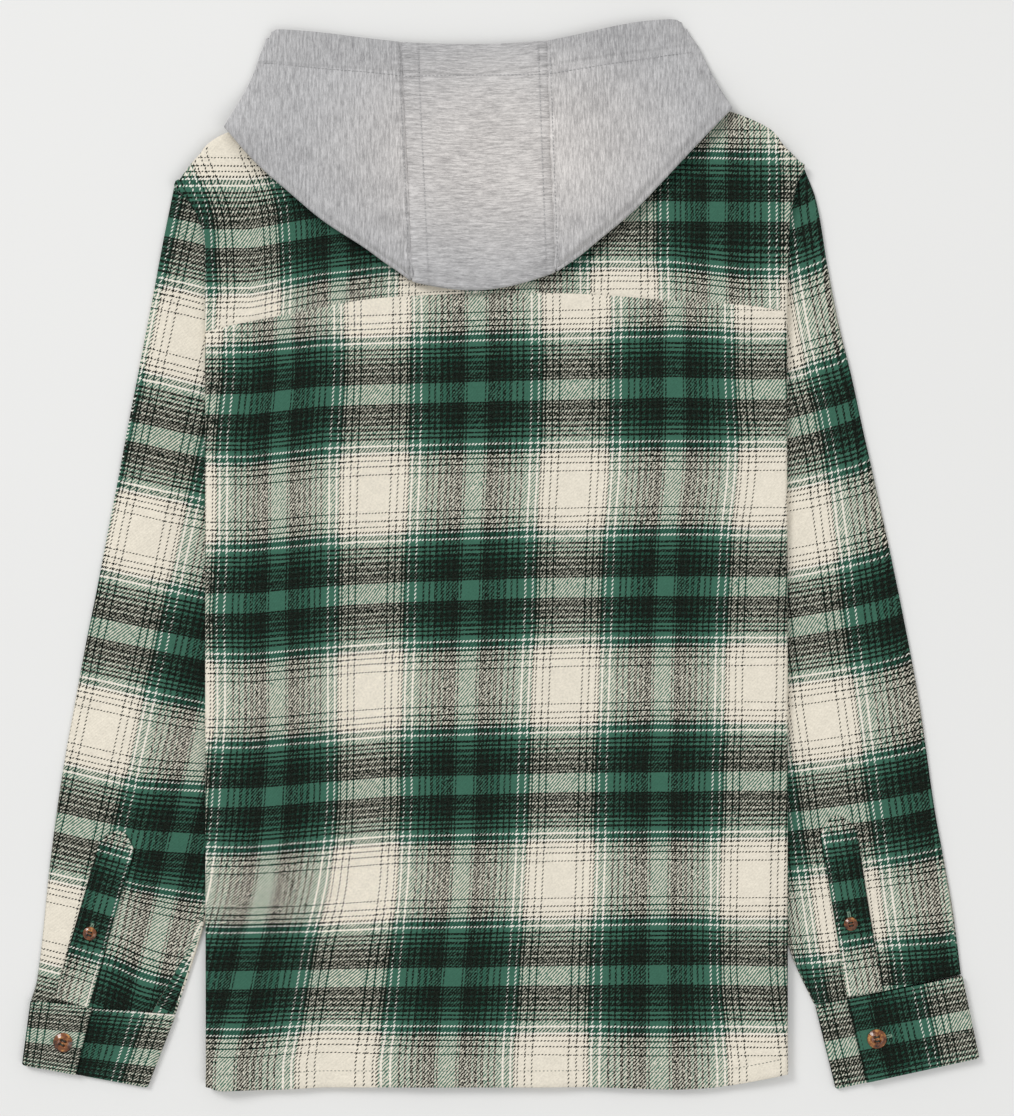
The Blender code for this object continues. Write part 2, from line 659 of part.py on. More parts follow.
def hood_centre_grid():
    """The gusset: down over the top from the face opening, round the fold, and up to the neck."""
    left, right = HOOD_SIDES
    spread = np.linspace(0.0, 1.0, GUSSET_CELLS + 1)
    gap = 2 * SEAM_GAP
    dip = -FOOT_DIP * np.sin(np.pi * spread)
    columns = []
    top_y = left.gusset_top.y + (right.gusset_top.y - left.gusset_top.y) * spread
    foot_y = left.gusset_foot.y + (right.gusset_foot.y - left.gusset_foot.y) * spread + dip
    top_x = left.gusset_top.x + gap + (right.gusset_top.x - left.gusset_top.x - 2 * gap) * spread
    foot_x = left.gusset_foot.x + gap + (right.gusset_foot.x - left.gusset_foot.x - 2 * gap) * spread
    down = np.linspace(0.0, 1.0, HOOD_ROWS)
    for column in range(GUSSET_CELLS + 1):
        x = top_x[column] + (foot_x[column] - top_x[column]) * down
        y = top_y[column] + (foot_y[column] - top_y[column]) * down
        z = hood_height(x, y) + HOOD_LAYER
        low = hood_height(x[-1:], y[-1:])[0]
        radius = (z[-1] - low) / 2
        bend = np.column_stack(
            [np.full(len(TURN), x[-1]), y[-1] - radius * np.sin(TURN), low + radius + radius * np.cos(TURN)]
        )
        back_y = y[-1] + (HOOD_NECK_Y - y[-1]) * np.linspace(0.0, 1.0, 6)
        back_x = np.full(6, x[-1])
        back = np.column_stack([back_x, back_y, hood_height(back_x, back_y)])
        columns.append(np.concatenate([np.column_stack([x, y, z]), bend, back]))
    return np.array(columns).transpose(1, 0, 2)


def build_hood():
    """The gusset and the two side panels."""
    cloth_wall("hood_centre", hood_centre_grid(), JERSEY, JERSEY_FINISH)
    for shape in HOOD_SIDES:
        cloth_wall(f"hood_{shape.side}", hood_side_grid(shape), JERSEY, JERSEY_FINISH)


# Buttons


ProfilePoint = namedtuple("ProfilePoint", "radius height")
BUTTON_PROFILE = (
    ProfilePoint(radius=0.8, height=0.0),
    ProfilePoint(radius=1.0, height=0.35),
    ProfilePoint(radius=1.0, height=0.65),
    ProfilePoint(radius=0.9, height=1.0),
    ProfilePoint(radius=0.72, height=1.0),
    ProfilePoint(radius=0.6, height=0.72),
)


def turned(profile, sides, radius, height):
    """Points and faces of a solid turned from a profile, closed with a flat fan at each end."""
    angle = np.linspace(0.0, 2 * np.pi, sides, endpoint=False)
    rings = []
    for point in profile:
        ring_radius = radius * point.radius
        ring_height = np.full(sides, height * point.height)
        x, y = ring_radius * np.cos(angle), ring_radius * np.sin(angle)
        rings.append(np.column_stack([x, y, ring_height]))
    points = np.concatenate(rings)
    faces = [list(range(sides))[::-1]]
    for ring in range(len(profile) - 1):
        for side in range(sides):
            following = (side + 1) % sides
            faces.append(
                [
                    ring * sides + side,
                    ring * sides + following,
                    (ring + 1) * sides + following,
                    (ring + 1) * sides + side,
                ]
            )
    last = (len(profile) - 1) * sides
    faces.append([last + side for side in range(sides)])
    return points, faces


def build_button(name, diameter, place, face_down=False):
    """A dished four-hole button, its holes cut through."""
    points, faces = turned(BUTTON_PROFILE, BUTTON_SIDES, diameter / 2, BUTTON_THICKNESS)
    button = add_object(name, points, faces, BUTTON_FINISH)
    straight = (ProfilePoint(radius=1.0, height=-1.0), ProfilePoint(radius=1.0, height=2.0))
    cutter_points, cutter_faces = [], []
    for across, along_y in ((-1, -1), (1, -1), (1, 1), (-1, 1)):
        hole, hole_faces = turned(straight, HOLE_SIDES, diameter * HOLE_RADIUS_SHARE, BUTTON_THICKNESS)
        offset = len(cutter_points) * len(hole)
        cutter_points.append(hole + np.array([across, along_y, 0.0]) * diameter * HOLE_PLACE_SHARE)
        cutter_faces += [[corner + offset for corner in face] for face in hole_faces]
    cutter = add_object(name + "_holes", np.concatenate(cutter_points), cutter_faces, BUTTON_FINISH)
    cutter.hide_render = True
    cutter.display_type = "WIRE"
    cutter.parent = button
    holes = button.modifiers.new("holes", "BOOLEAN")
    holes.object = cutter
    holes.operation = "DIFFERENCE"
    if face_down:
        button.rotation_euler = (np.pi, 0.0, 0.0)
        place = (place[0], place[1], place[2] + BUTTON_THICKNESS)
    button.location = [value * MM for value in place]


def main():
    for leftover in list(bpy.data.objects):
        bpy.data.objects.remove(leftover, do_unlink=True)
    build_body()
    build_band()
    build_sleeves()
    build_hood()


main()
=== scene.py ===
"""Builds the looks of a hooded flannel shirt that lies flat with its back up.

Sizes are in millimetres until a mesh is made. X runs across the shirt, Y from hem to hood, and Z up
from the floor. A cloth piece is a grid of points on the middle of its cloth, a function of a share
across and a share along, which gets a wall of real thickness with a rounded rim.
"""

import json
from collections import namedtuple

import bpy
import numpy as np
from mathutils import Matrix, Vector

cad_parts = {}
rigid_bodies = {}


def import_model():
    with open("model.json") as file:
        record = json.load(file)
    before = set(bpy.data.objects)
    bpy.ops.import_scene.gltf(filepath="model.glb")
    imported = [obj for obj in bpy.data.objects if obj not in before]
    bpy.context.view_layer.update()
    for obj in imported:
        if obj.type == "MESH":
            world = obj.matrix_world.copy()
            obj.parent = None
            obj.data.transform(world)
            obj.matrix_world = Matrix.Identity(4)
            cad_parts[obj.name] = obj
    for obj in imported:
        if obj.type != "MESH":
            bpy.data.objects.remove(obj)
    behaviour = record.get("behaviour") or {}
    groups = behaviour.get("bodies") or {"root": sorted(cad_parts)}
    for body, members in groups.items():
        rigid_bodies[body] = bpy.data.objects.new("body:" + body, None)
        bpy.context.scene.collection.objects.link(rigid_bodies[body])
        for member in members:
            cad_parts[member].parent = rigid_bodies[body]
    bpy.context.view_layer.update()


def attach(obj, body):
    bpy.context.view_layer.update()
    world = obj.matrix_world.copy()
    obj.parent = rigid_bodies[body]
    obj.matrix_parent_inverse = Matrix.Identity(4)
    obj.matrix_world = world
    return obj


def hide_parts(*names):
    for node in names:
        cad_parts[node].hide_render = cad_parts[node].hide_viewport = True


bl_info = {
    "name": "Hooded flannel shirt",
    "version": (1, 0, 0),
    "blender": (4, 5, 0),
    "location": "View3D > Sidebar > Shirt",
    "description": "Builds the cloth, stitching and buttons of a hooded flannel shirt",
    "category": "Add Mesh",
}

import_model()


def listed(kind, *values):
    """A table's rows from plain tuples."""
    return tuple(kind(*each) for each in values)


MM = 0.001
BODY = "root"
SEED = 7

# Cloth thicknesses and the gap between layers, as in the frame
FLANNEL = 1.2
JERSEY = 2.0
CUFF_CLOTH = 2.0
SEAM_GAP = 0.3
LAYER = FLANNEL + SEAM_GAP
SLEEVE_STACK = 2 * LAYER
STRIP_STACK = 2 * LAYER

# The check, in millimetres from the middle of a cream block to the middle of a green one
WARP_REPEAT = 146.6
WEFT_REPEAT = 141.8
Stripe = namedtuple("Stripe", "start colour")
WARP_STRIPES = listed(
    Stripe, (0.0, "cream"), (11.6, "black"), (12.6, "cream"), (16.8, "black"), (17.8, "cream"),
    (21.8, "black"), (23.1, "cream"), (24.3, "black"), (25.7, "green"), (26.8, "white"),
    (28.2, "green"), (32.3, "white"), (33.6, "green"),
)
WEFT_STRIPES = listed(
    Stripe, (0.0, "cream"), (13.1, "black"), (14.1, "cream"), (19.1, "black"), (20.1, "cream"),
    (23.2, "black"), (24.2, "cream"), (26.8, "black"), (28.3, "white"), (29.9, "dark"),
    (33.3, "white"), (34.7, "green"),
)
Line = namedtuple("Line", "middle width after")
WARP_LINES = listed(
    Line, (38.9, 1.4, "green"), (43.2, 1.5, "green"), (47.9, 2.2, "dark"), (52.7, 2.6, "dark"),
    (56.7, 2.7, "deep"), (61.2, 3.3, "deep"), (63.9, 1.3, "green"), (66.3, 1.4, "green"),
)
WEFT_LINES = listed(
    Line, (39.2, 1.8, "green"), (42.4, 1.6, "green"), (45.8, 2.3, "dark"), (49.8, 2.4, "deep"),
    (54.0, 3.0, "deep"), (58.3, 2.6, "deep"), (60.9, 1.9, "deep"), (63.1, 1.5, "green"),
)
WEFT_FACE = 0.12
WARP_SHOWS = 0.18
WEFT_SHOWS = 0.36
EYE = 2.2
TWILL_ACROSS = 2.4
TWILL_ALONG = 2.84

OUTWARD = {"left": -1.0, "right": 1.0}

# Fineness of the grids and of the random relief
CELL = 4.0
HIDDEN_CELL = 9.0
BODY_WIDTH = 420.0
BACK_LENGTH = 560.0
YOKE_LENGTH = 150.0
SLEEVE_LENGTH = 600.0
SLEEVE_WIDTH = 130.0
FRONT_ROWS = 60
SHOULDER_ROWS = 16
BAND_ROWS = 70
BAND_COLUMNS = 7
FOLD_ROUNDS = 16
TURN = np.radians([22.5, 45.0, 67.5, 90.0, 112.5, 135.0, 157.5])
RIM_SHARE = 0.45
WAVE_COUNT = 7
WAVE_SIZES = (0.7, 1.5)
CREASE_FADE = 0.3
BAKE_EDGE = 0.01
BAKE_BANDS = ((0.17, 0.99), (0.01, 0.14))
TINY = 1e-9
BACK_TURN_RADIUS = 1.5 * LAYER

# Body
BODY_CENTRE_X = -3.0
UNDERARM_Y = 24.0
ARMHOLE_SHOWS_Y = 236.0
TURNED_UNDER = 70.0
TURNED_AT_SHOULDER = 4.0
TURNED_TAPER = 1.2
NECK_HALF_WIDTH = 80.0
NECK_SQUARENESS = 2.5
BACK_NECK_DROP = 18.0
FRONT_NECK_DROP = 78.0
SLEEVE_MARGIN = 26.0
SLEEVE_RAMP = 46.0
STRIP_RAMP = 34.0
VALLEY_FILL = 2.4

# Front band and its buttons
BAND_WIDTH = 34.0
BAND_INSET = 3.0
BAND_TOP_BUTTON = 18.0
BAND_LAST_BUTTON = 75.0
BAND_MARGIN = 3.0
BAND_RAMP = 46.0
FRONT_BUTTONS = 7
FRONT_BUTTON_DIAMETER = 11.5
CUFF_BUTTON_DIAMETER = 14.0
PLACKET_BUTTON_DIAMETER = 10.0
BUTTON_THICKNESS = 2.4
HOLE_RADIUS_SHARE = 0.065
HOLE_PLACE_SHARE = 0.11
BUTTON_GRID = (36, 96)
HIDDEN_BUTTON_GRID = (12, 32)
BUTTON_CORE = 0.02
BUTTON_UNDERSIDE = ((0.97, 0.12), (0.86, 0.0), (0.4, 0.0), (BUTTON_CORE, 0.0))
RIM_FALL = 0.26
RIM_STARTS = 0.56
RIM_SPAN = 0.36
EDGE_STARTS = 0.88
EDGE_HEIGHT = 0.28
DISH_DEPTH = 0.26
DISH_STARTS = 0.26
DISH_SPAN = 0.32
PIT_STARTS = 0.85
PIT_SPAN = 0.3
PIT_FLOOR = 0.5
BAR_POINTS = 13
BAR_LEVEL = 0.66
BAR_DROP = 0.9
BAR_POWER = 6
BAR_LIFT = 0.45
BAR_REACH = 1.08
BAR_STRAND = 0.3
BAR_RADIUS = 0.27
TUBE_END = 0.15
STITCH_LEVEL = 0.75

# Sleeves
SLEEVE_PUFF = 2.4
PUFF_STARTS = 5.0
PUFF_RISE = 30.0
CROWN_POWER = 0.6
RELIEF_POWER = 0.4
ARMHOLE_LAP = 3.5
CAP_SHARE = 0.18
BOW_FADES = 0.7
PLACKET_WIDTH = 25.0
PLACKET_TIP = 11.0
PLACKET_AIR = 0.15
PLACKET_LIFT = LAYER + PLACKET_AIR
PLACKET_FOOT_GAP = 1.0
PLACKET_TIP_ROWS = (0.05, 1.0, 9)
PLACKET_COLUMNS = 11

# Cuffs
CUFF_LAYER = CUFF_CLOTH + SEAM_GAP
UNDERLAP = 0.2
CUFF_ROWS = 24
CUFF_HIDDEN_COLUMNS = 26
CUFF_SHOWN_COLUMNS = 30
HIDDEN_RELIEF = 0.3
SHOWN_RELIEF = 0.7

# Hood
HOOD_BASE = 9.2
HOOD_FALL = 34.0
HOOD_AIR = 0.6
HOOD_LAYER = JERSEY + HOOD_AIR
HOOD_NECK_Y = 322.0
NECK_CORNER_SHARE = 0.375
NECK_SEAM_SHARE = 0.5
THROAT_DROP = 6.0
UNDER_FOOT_RISE = 9.0
FOOT_DIP = 9.0

BodyEdge = namedtuple("BodyEdge", "y left right")
BODY_EDGES = listed(
    BodyEdge, (-390, -214.5, 208.5), (-100, -215.0, 208.5), (110, -215.0, 208.0), (221, -215.0, 208.8),
    (232, -216.5, 209.4), (247, -221.3, 210.7), (258, -228.5, 212.8), (268, -238.0, 215.2),
    (283, -238.0, 222.5),
)

HemPoint = namedtuple("HemPoint", "x hem")
HEM = listed(
    HemPoint, (-215, -386.0), (-204, -389.6), (-165, -389.2), (-125, -387.5), (60, -387.3),
    (125, -389.0), (150, -388.0), (174, -384.8), (192, -381.2), (209, -377.5),
)

SeamPoint = namedtuple("SeamPoint", "x yoke_seam shoulder")
ACROSS = listed(
    SeamPoint, (-238, 157.0, 269.0), (-228, 158.8, 283.5), (-215, 161.0, 295.5), (-200, 164.5, 304.5),
    (-163, 172.0, 318.0), (-83, 186.0, 338.0), (-7, 189.0, 340.0), (45, 189.0, 342.0),
    (77, 187.5, 343.0), (120, 184.0, 335.0), (168, 181.0, 320.0), (196, 177.5, 307.0),
    (222, 173.0, 283.0),
)

EdgePoint = namedtuple("EdgePoint", "x y")
SleeveShape = namedtuple(
    "SleeveShape", "side outer inner cuff_outer cuff_inner placket_tip placket_foot placket_button"
    " cuff_button overlap_end"
)
SLEEVES = (
    SleeveShape(
        side="left",
        outer=listed(
            EdgePoint, (-238, 266.5), (-264, 131), (-290, -5), (-308, -97), (-322, -177.5), (-329, -231.5),
            (-338, -312), (-342, -325),
        ),
        inner=listed(
            EdgePoint, (-141, 24), (-162, -60), (-191, -172), (-217, -274), (-237, -335),
        ),
        cuff_outer=listed(EdgePoint, (-342.5, -326), (-348.5, -371)),
        cuff_inner=listed(EdgePoint, (-237, -336.5), (-257, -388)),
        placket_tip=EdgePoint(-276, -202),
        placket_foot=EdgePoint(-312.5, -327),
        placket_button=EdgePoint(-298.5, -276),
        cuff_button=EdgePoint(-318, -355),
        overlap_end=0.41,
    ),
    SleeveShape(
        side="right",
        outer=listed(
            EdgePoint, (221, 280), (229, 258), (237, 212), (245, 170), (254, 133), (265, 83), (283, 2),
            (304, -105), (317, -193.5), (328, -253), (335, -306),
        ),
        inner=listed(
            EdgePoint, (134, 24), (150, -60), (180, -185), (213, -296), (228, -328),
        ),
        cuff_outer=listed(EdgePoint, (336, -308), (348, -366)),
        cuff_inner=listed(EdgePoint, (229, -330), (243.5, -389)),
        placket_tip=EdgePoint(243.5, -191),
        placket_foot=EdgePoint(264.5, -320.5),
        placket_button=EdgePoint(254, -269),
        cuff_button=EdgePoint(273, -352.5),
        overlap_end=0.79,
    ),
)

HoodFold = namedtuple("HoodFold", "share x y")
HoodSide = namedtuple("HoodSide", "side fold gusset_top gusset_foot neck_corner throat_x")
HOOD_SIDES = (
    HoodSide(
        side="left",
        fold=listed(
            HoodFold, (0.0, -168, 380), (0.125, -174.5, 356), (0.25, -185, 331.5),
            (0.375, -197.5, 309), (0.5, -174, 283), (0.625, -152, 263.5), (0.75, -126.5, 242),
            (0.875, -101, 225), (0.965, -76, 208.7), (1.0, -65.6, 200.5),
        ),
        gusset_top=EdgePoint(-72.3, 370.5),
        gusset_foot=EdgePoint(-64.3, 199.5),
        neck_corner=EdgePoint(-83, 336),
        throat_x=-132,
    ),
    HoodSide(
        side="right",
        fold=listed(
            HoodFold, (0.0, 132.5, 387), (0.125, 144, 362), (0.25, 154.5, 339.5),
            (0.375, 164.5, 322.5), (0.5, 141, 298.5), (0.625, 119, 275), (0.75, 95, 250),
            (0.875, 72, 230.5), (0.965, 50, 213.5), (1.0, 40.7, 206.8),
        ),
        gusset_top=EdgePoint(33.3, 371.5),
        gusset_foot=EdgePoint(39.3, 206),
        neck_corner=EdgePoint(77, 341),
        throat_x=98,
    ),
)

SLEEVE_SHAPES = {shape.side: shape for shape in SLEEVES}

# Where the check falls: the place of a cream block's middle, and how the lines bend as the cloth lies
Phase = namedtuple("Phase", "warp_at weft_at")
BACK_PHASE = Phase(warp_at=-93.5, weft_at=43.0)
YOKE_PHASE = Phase(warp_at=88.6, weft_at=176.0)
BEND_X = (-182.0, -131.0, -80.0, 22.6, 124.7, 176.4)
Bend = namedtuple("Bend", "y far_left left middle_left middle_right right far_right")
WARP_LEAN = listed(
    Bend, (-370, -34.0, -29.4, -19.9, -18.6, -10.5, -8.7),
    (-292, -16.5, -18.4, -12.4, -14.1, -11.8, -16.7), (-231, -3.0, -4.5, -6.5, -10.1, -11.7, -16.2),
    (-171, 3.1, 0.9, -4.2, -7.9, -11.4, -14.4), (-111, 6.4, 1.1, -3.8, -6.0, -9.4, -12.3),
    (-51, 5.9, 1.0, -2.2, -3.0, -8.0, -10.9), (10, 8.0, 1.8, -0.5, -1.4, -5.2, -7.9),
    (70, 8.0, 2.2, 1.5, 1.3, -0.4, -2.0), (130, 12.9, 6.0, 2.8, 2.4, 0.3, -5.4),
)
WEFT_BOW = listed(
    Bend, (-352, 3.0, 6.3, 5.2, 4.5, 3.8, 4.2), (-292, 1.0, 1.5, 2.8, 4.6, 5.6, 5.1),
    (-231, -5.6, -2.3, 1.7, 3.2, 4.9, 4.5), (-171, -7.7, -3.6, 0.1, 2.8, 3.9, 4.6),
    (-111, -7.9, -3.6, 0.1, 2.8, 4.8, 4.8), (-51, -8.7, -4.2, -0.9, 2.2, 3.6, 3.5),
    (10, -6.5, -2.0, 0.4, 3.5, 5.1, 4.3), (70, -7.1, -1.4, 0.8, 3.0, 4.1, 3.6),
    (130, -4.6, 0.7, 2.4, 4.9, 7.4, 5.5),
)
YOKE_LEAN = listed(
    Bend, (190, 23.0, 14.5, 9.3, 3.8, 0.0, -6.7), (240, 20.0, 13.0, 9.3, 3.8, 0.0, -6.7),
    (290, 2.0, 6.0, 9.3, 3.8, 0.0, -6.7),
)
YOKE_BOW = listed(
    Bend, (190, -17.5, -6.5, -1.0, 2.5, 2.5, -4.0), (211, -18.0, -8.0, -2.0, 2.0, 1.5, -4.0),
    (235, -18.5, -9.5, -3.0, 1.0, 1.5, 0.5), (265, -16.8, -9.5, -4.0, 1.0, 3.0, 1.5),
    (290, -17.0, -10.0, -5.0, 1.0, 5.0, 3.0),
)
Sway = namedtuple("Sway", "y warp_in weft_up")
SLEEVE_SWAYS = {
    "left": listed(
        Sway, (-360, 0.0, 0.0), (95, 0.0, 0.0), (134, 0.0, 2.0), (152, 0.0, 3.6), (177, 0.0, 5.0),
        (199, 0.0, 6.5), (243, 0.0, 6.5), (310, 0.0, 6.5),
    ),
    "right": listed(
        Sway, (-360, 0.0, 0.0), (70, 0.0, 0.0), (101, 1.2, 2.5), (112, 2.0, 2.0), (136, 4.9, 1.0),
        (169, 7.3, 2.5), (201, 8.3, 5.5), (230, 8.5, 6.0), (310, 8.5, 6.0),
    ),
}
SleeveMap = namedtuple("SleeveMap", "x tilt curve stretch warp_at weft_at sways")
SLEEVE_MAPS = {
    "left": SleeveMap(-289.0, 12.3, 2.6, 0.981, warp_at=26.2, weft_at=160.1, sways=SLEEVE_SWAYS["left"]),
    "right": SleeveMap(283.0, 7.5, 0.0, 0.987, warp_at=58.5, weft_at=176.2, sways=SLEEVE_SWAYS["right"]),
}
Seam = namedtuple("Seam", "x y end_x end_y warp_at weft_at")
UNDERARM_SEAMS = {"left": Seam(-214.5, -268.0, -254.5, -337.5, warp_at=30.0, weft_at=-128.0)}
SEAM_COLUMNS = 5
SEAM_LEAD = 35.0
SEAM_EASE = 30.0
SEAM_LIMIT = 0.985
SEAM_STEP = 0.003
SlitRise = namedtuple("SlitRise", "rise start reach")
SLIT_RISES = {
    "left": SlitRise(rise=14.0, start=0.0, reach=75.0),
    "right": SlitRise(rise=7.0, start=30.0, reach=80.0),
}
Fan = namedtuple("Fan", "x y rise")
Ease = namedtuple("Ease", "share start reach")
SLEEVE_FANS = {"left": Fan(x=-263.0, y=-107.0, rise=7.0)}
FAN_WIDTH = 47.0
FAN_REACH = 65.0
FAN_LIMIT = 1.2
CURVE_LENGTH = 300.0
SLIT_WIDTH = 6.0
SLIT_EASE = Ease(share=0.68, start=12.0, reach=60.0)
TIP_ROUNDNESS = 0.62
PLACKET_WARP = 44.0
PLACKET_WEFT = 125.0
CuffMap = namedtuple("CuffMap", "warp_from_end weft_at_seam slack skew")
CUFF_MAPS = {
    "left": CuffMap(warp_from_end=15.7, weft_at_seam=100.3, slack=25.5, skew=0.04),
    "right": CuffMap(warp_from_end=80.3, weft_at_seam=100.5, slack=11.3, skew=0.015),
}

# Seams and stitches
HEM_STITCH = 11.5
HEM_RISE = 0.35
HEM_STEP = 2.0
HEM_GROOVE = 0.45
HEM_GROOVE_WIDTH = 2.2
FOLD_FADE = 12.0
HOOD_FLATTENS = 0.92
SHOULDER_ROUND = 7.0
SHOULDER_EASE = 30.0
HOOD_PRESS = 2.4
Profile = namedtuple("Profile", "height width")
PLACKET_CELL = 3.0
PLACKET_CROWN = Profile(0.35, 2.5)
PLACKET_GROOVE = Profile(0.3, 1.6)
PLACKET_STITCH = 2.2
PLACKET_BOX = 26.0
CUFF_DEPTH = 60.0
CUFF_STITCH = 5.0
CUFF_GROOVE = Profile(0.6, 2.2)
CUFF_ROUND = 6.0
CUFF_DENTS = (90.0, 70.0)
CASING = 25.0
CASING_GROOVE = Profile(0.8, 2.6)
CASING_PUFF = 0.5
TWIN_STITCH = 5.0
ROW_GROOVE = Profile(0.35, 1.8)
SEAM_DIP = Profile(0.9, 3.0)
FOLD_ROUNDING = Ease(share=0.3, start=0.0, reach=10.0)
FOLD_REACH = 3.6
TOP_SWELL_FADES = 0.3
CORNER_FADES = 0.11
SWELL_LEAN = 1.6
FOOT_STARTS = 0.88
HOOD_ROWS = 70
PANEL_COLUMNS = 42
GUSSET_COLUMNS = 30
GUSSET_DOWN = 64
GUSSET_UNDER = 20
GUSSET_TOP_DIP = 2.2
EDGE_INSET = 1.5
STITCH_SHARE = 0.72
STITCH_POINTS = 7
STITCH_SINK = 0.5
TUBE_SIDES = 6
ButtonLook = namedtuple("ButtonLook", "turn shift")
BUTTON_LOOKS = {
    ("placket", "left"): ButtonLook(turn=-16.0, shift=1.5),
    ("cuff", "left"): ButtonLook(turn=-25.0, shift=1.5),
    ("placket", "right"): ButtonLook(turn=12.0, shift=2.9),
    ("cuff", "right"): ButtonLook(turn=8.0, shift=3.4),
}
# Painted light on the hood: the jersey is painted lighter round this middle and darker towards the hood's
# edges; no lamp stands here
PaintedHoodLight = namedtuple("PaintedHoodLight", "x y half_width half_length")
HOOD_PAINTED_LIGHT = PaintedHoodLight(x=0.004, y=0.290, half_width=0.19, half_length=0.125)
GussetSeam = namedtuple("GussetSeam", "x y slope")
GUSSET_SEAMS = (GussetSeam(x=-0.0683, y=0.285, slope=-0.0468), GussetSeam(x=0.0363, y=0.289, slope=-0.0363))
CasingLine = namedtuple("CasingLine", "x y left right")
CASING_LINE = CasingLine(x=-0.022, y=0.345, left=-0.079, right=0.153)
HOOD_TIP_ROW = 3
HOOD_CORNER = 6.0
HOOD_TOP_SWELL = {"left": 1.2, "right": 3.0}
GUSSET_ROWS = {"left": 12.0, "right": 6.5}
SIDE_ROW = 1.8
SHADE_REACH = 14.0
HOOD_EDGE = (
    (-245.0, 420.0), (-205.0, 330.0), *(row[1:] for row in HOOD_SIDES[0].fold[3:9]), (-12.0, 194.0),
    *(row[1:] for row in HOOD_SIDES[1].fold[8:2:-1]), (180.0, 380.0), (240.0, 420.0),
)

# Where the rows of stitches start and end, and how a buttonhole is sewn
HEM_ROW = (-208.0, 203.0, 220)
CUFF_ROW = (0.02, 0.985, 90)
TIP_POINTS = 20
EDGE_POINTS = 40
CASING_POINTS = 60
SEAM_POINTS = 90
PLACKET_ROW_FOOT = 3.0
PLACKET_ROW_SHOULDER = 1.0
PLACKET_ROW_TIP = PLACKET_STITCH + 0.6
RowEnds = namedtuple("RowEnds", "top foot")
CASING_ENDS = RowEnds(top=1.0, foot=3.0)
CASING_ON_GUSSET = CASING + 0.5
CASING_INSET = 1.5
SIDE_ENDS = RowEnds(top=1.5, foot=3.0)
GUSSET_ENDS = RowEnds(top=3.0, foot=6.0)
LEVELLED = 5
NEAR_GAP = 0.5
NEAR_SHARE = 0.8
HOLE_PITCH = 0.55
HOLE_SPARE = 0.01
HOLE_END = ((-1.5, 1.5),)
HOLE_SIDES = ((-1.3, -0.2), (0.2, 1.3))
HOLE_POINTS = 5
HOLE_LIFT = 0.16
HOLE_ARCH = 0.2
HOLE_THREAD = 0.3
BUTTON_GAP = 0.25

THREADS = {
    "button": ((0.010, 0.018, 0.013), (0.030, 0.050, 0.038)),
    "hole": ((0.10, 0.20, 0.14), (0.24, 0.36, 0.27)),
    "flannel": ((0.008, 0.022, 0.015), (0.020, 0.055, 0.038)),
    "jersey": ((0.30, 0.30, 0.31), (0.50, 0.50, 0.50)),
}

# The low swell of each piece: its middle height, and its waves
Wave = namedtuple("Wave", "height size seed")
SWELLS = {
    "back": (1.0, (Wave(0.9, 150.0, 0), Wave(0.35, 55.0, 1))),
    "sleeve": (0.3, (Wave(0.7, 70.0, 2),)),
    "cuff": (0.0, (Wave(0.5, 45.0, 3),)),
    "hood": (4.6, (Wave(0.8, 90.0, 4), Wave(0.3, 34.0, 5))),
}

# Creases: from a point to an end, bowed sideways, with a half width, a height and a lean to one side
Crease = namedtuple("Crease", "x y end_x end_y bow width height lean")
BACK_CREASES = listed(
    Crease, (-210, 185, -146, 152, 3, 9, 0.9, 0.3), (-212, 152, -154, 112, -3, 8, -0.7, -0.2),
    (203, 185, 145, 148, -3, 9, 0.9, -0.3), (206, 148, 156, 105, 3, 8, -0.7, 0.2),
    (-201, -107, -196, -325, -4, 12, 0.8, 0.3), (196, -48, 192, -253, 3, 12, 0.7, -0.3),
    (-52, -63, 80, -107, 6, 20, 0.6, 0.0), (-147, -325, -125, -369, 2, 12, 0.6, 0.2),
    (43, -333, 65, -371, -2, 11, -0.5, 0.0), (145, -311, 160, -358, 2, 12, 0.6, -0.2),
    (101, 247, 145, 192, -3, 8, 0.7, 0.2), (-125, 228, -168, 192, 3, 8, 0.7, 0.2),
)
SLEEVE_CREASES = {
    "left": listed(
        Crease, (-237, 247, -219, 196, 2, 5, 1.2, 0.3), (-241, 225, -222, 170, 2, 5, -1.0, 0.0),
        (-278, -5, -223, -48, 3, 9, 1.0, 0.3), (-285, -63, -234, -34, -3, 8, -0.8, -0.2),
        (-296, -107, -241, -180, 4, 10, 0.8, 0.2), (-256, -282, -263, -320, 1, 4, 0.9, 0.2),
        (-245, -274, -249, -322, -1, 4, 0.9, -0.2), (-321, -274, -327, -320, 1, 4, 0.7, 0.0),
    ),
    "right": listed(
        Crease, (227, 265, 214, 221, -2, 4, 1.2, 0.3), (234, 239, 218, 192, -2, 5, -1.0, 0.0),
        (218, -5, 267, -34, -3, 9, 1.0, 0.3), (229, -70, 276, -41, 3, 8, -0.8, -0.2),
        (243, -121, 291, -194, -4, 10, 0.8, 0.2), (290, -250, 293, -322, 0, 6, 1.3, 0.6),
        (312, -274, 316, -312, 1, 4, 0.9, 0.2), (233, -289, 237, -325, -1, 4, 0.8, 0.0),
    ),
}
HOOD_CREASES = listed(
    Crease, (-190, 318, -120, 268, 5, 12, 0.8, 0.3), (-150, 360, -120, 290, -5, 11, -0.6, 0.0),
    (155, 330, 100, 280, -5, 12, 0.8, -0.3), (110, 370, 90, 300, 4, 10, -0.6, 0.0),
    (-50, 240, 25, 236, -4, 12, 0.5, 0.0),
)

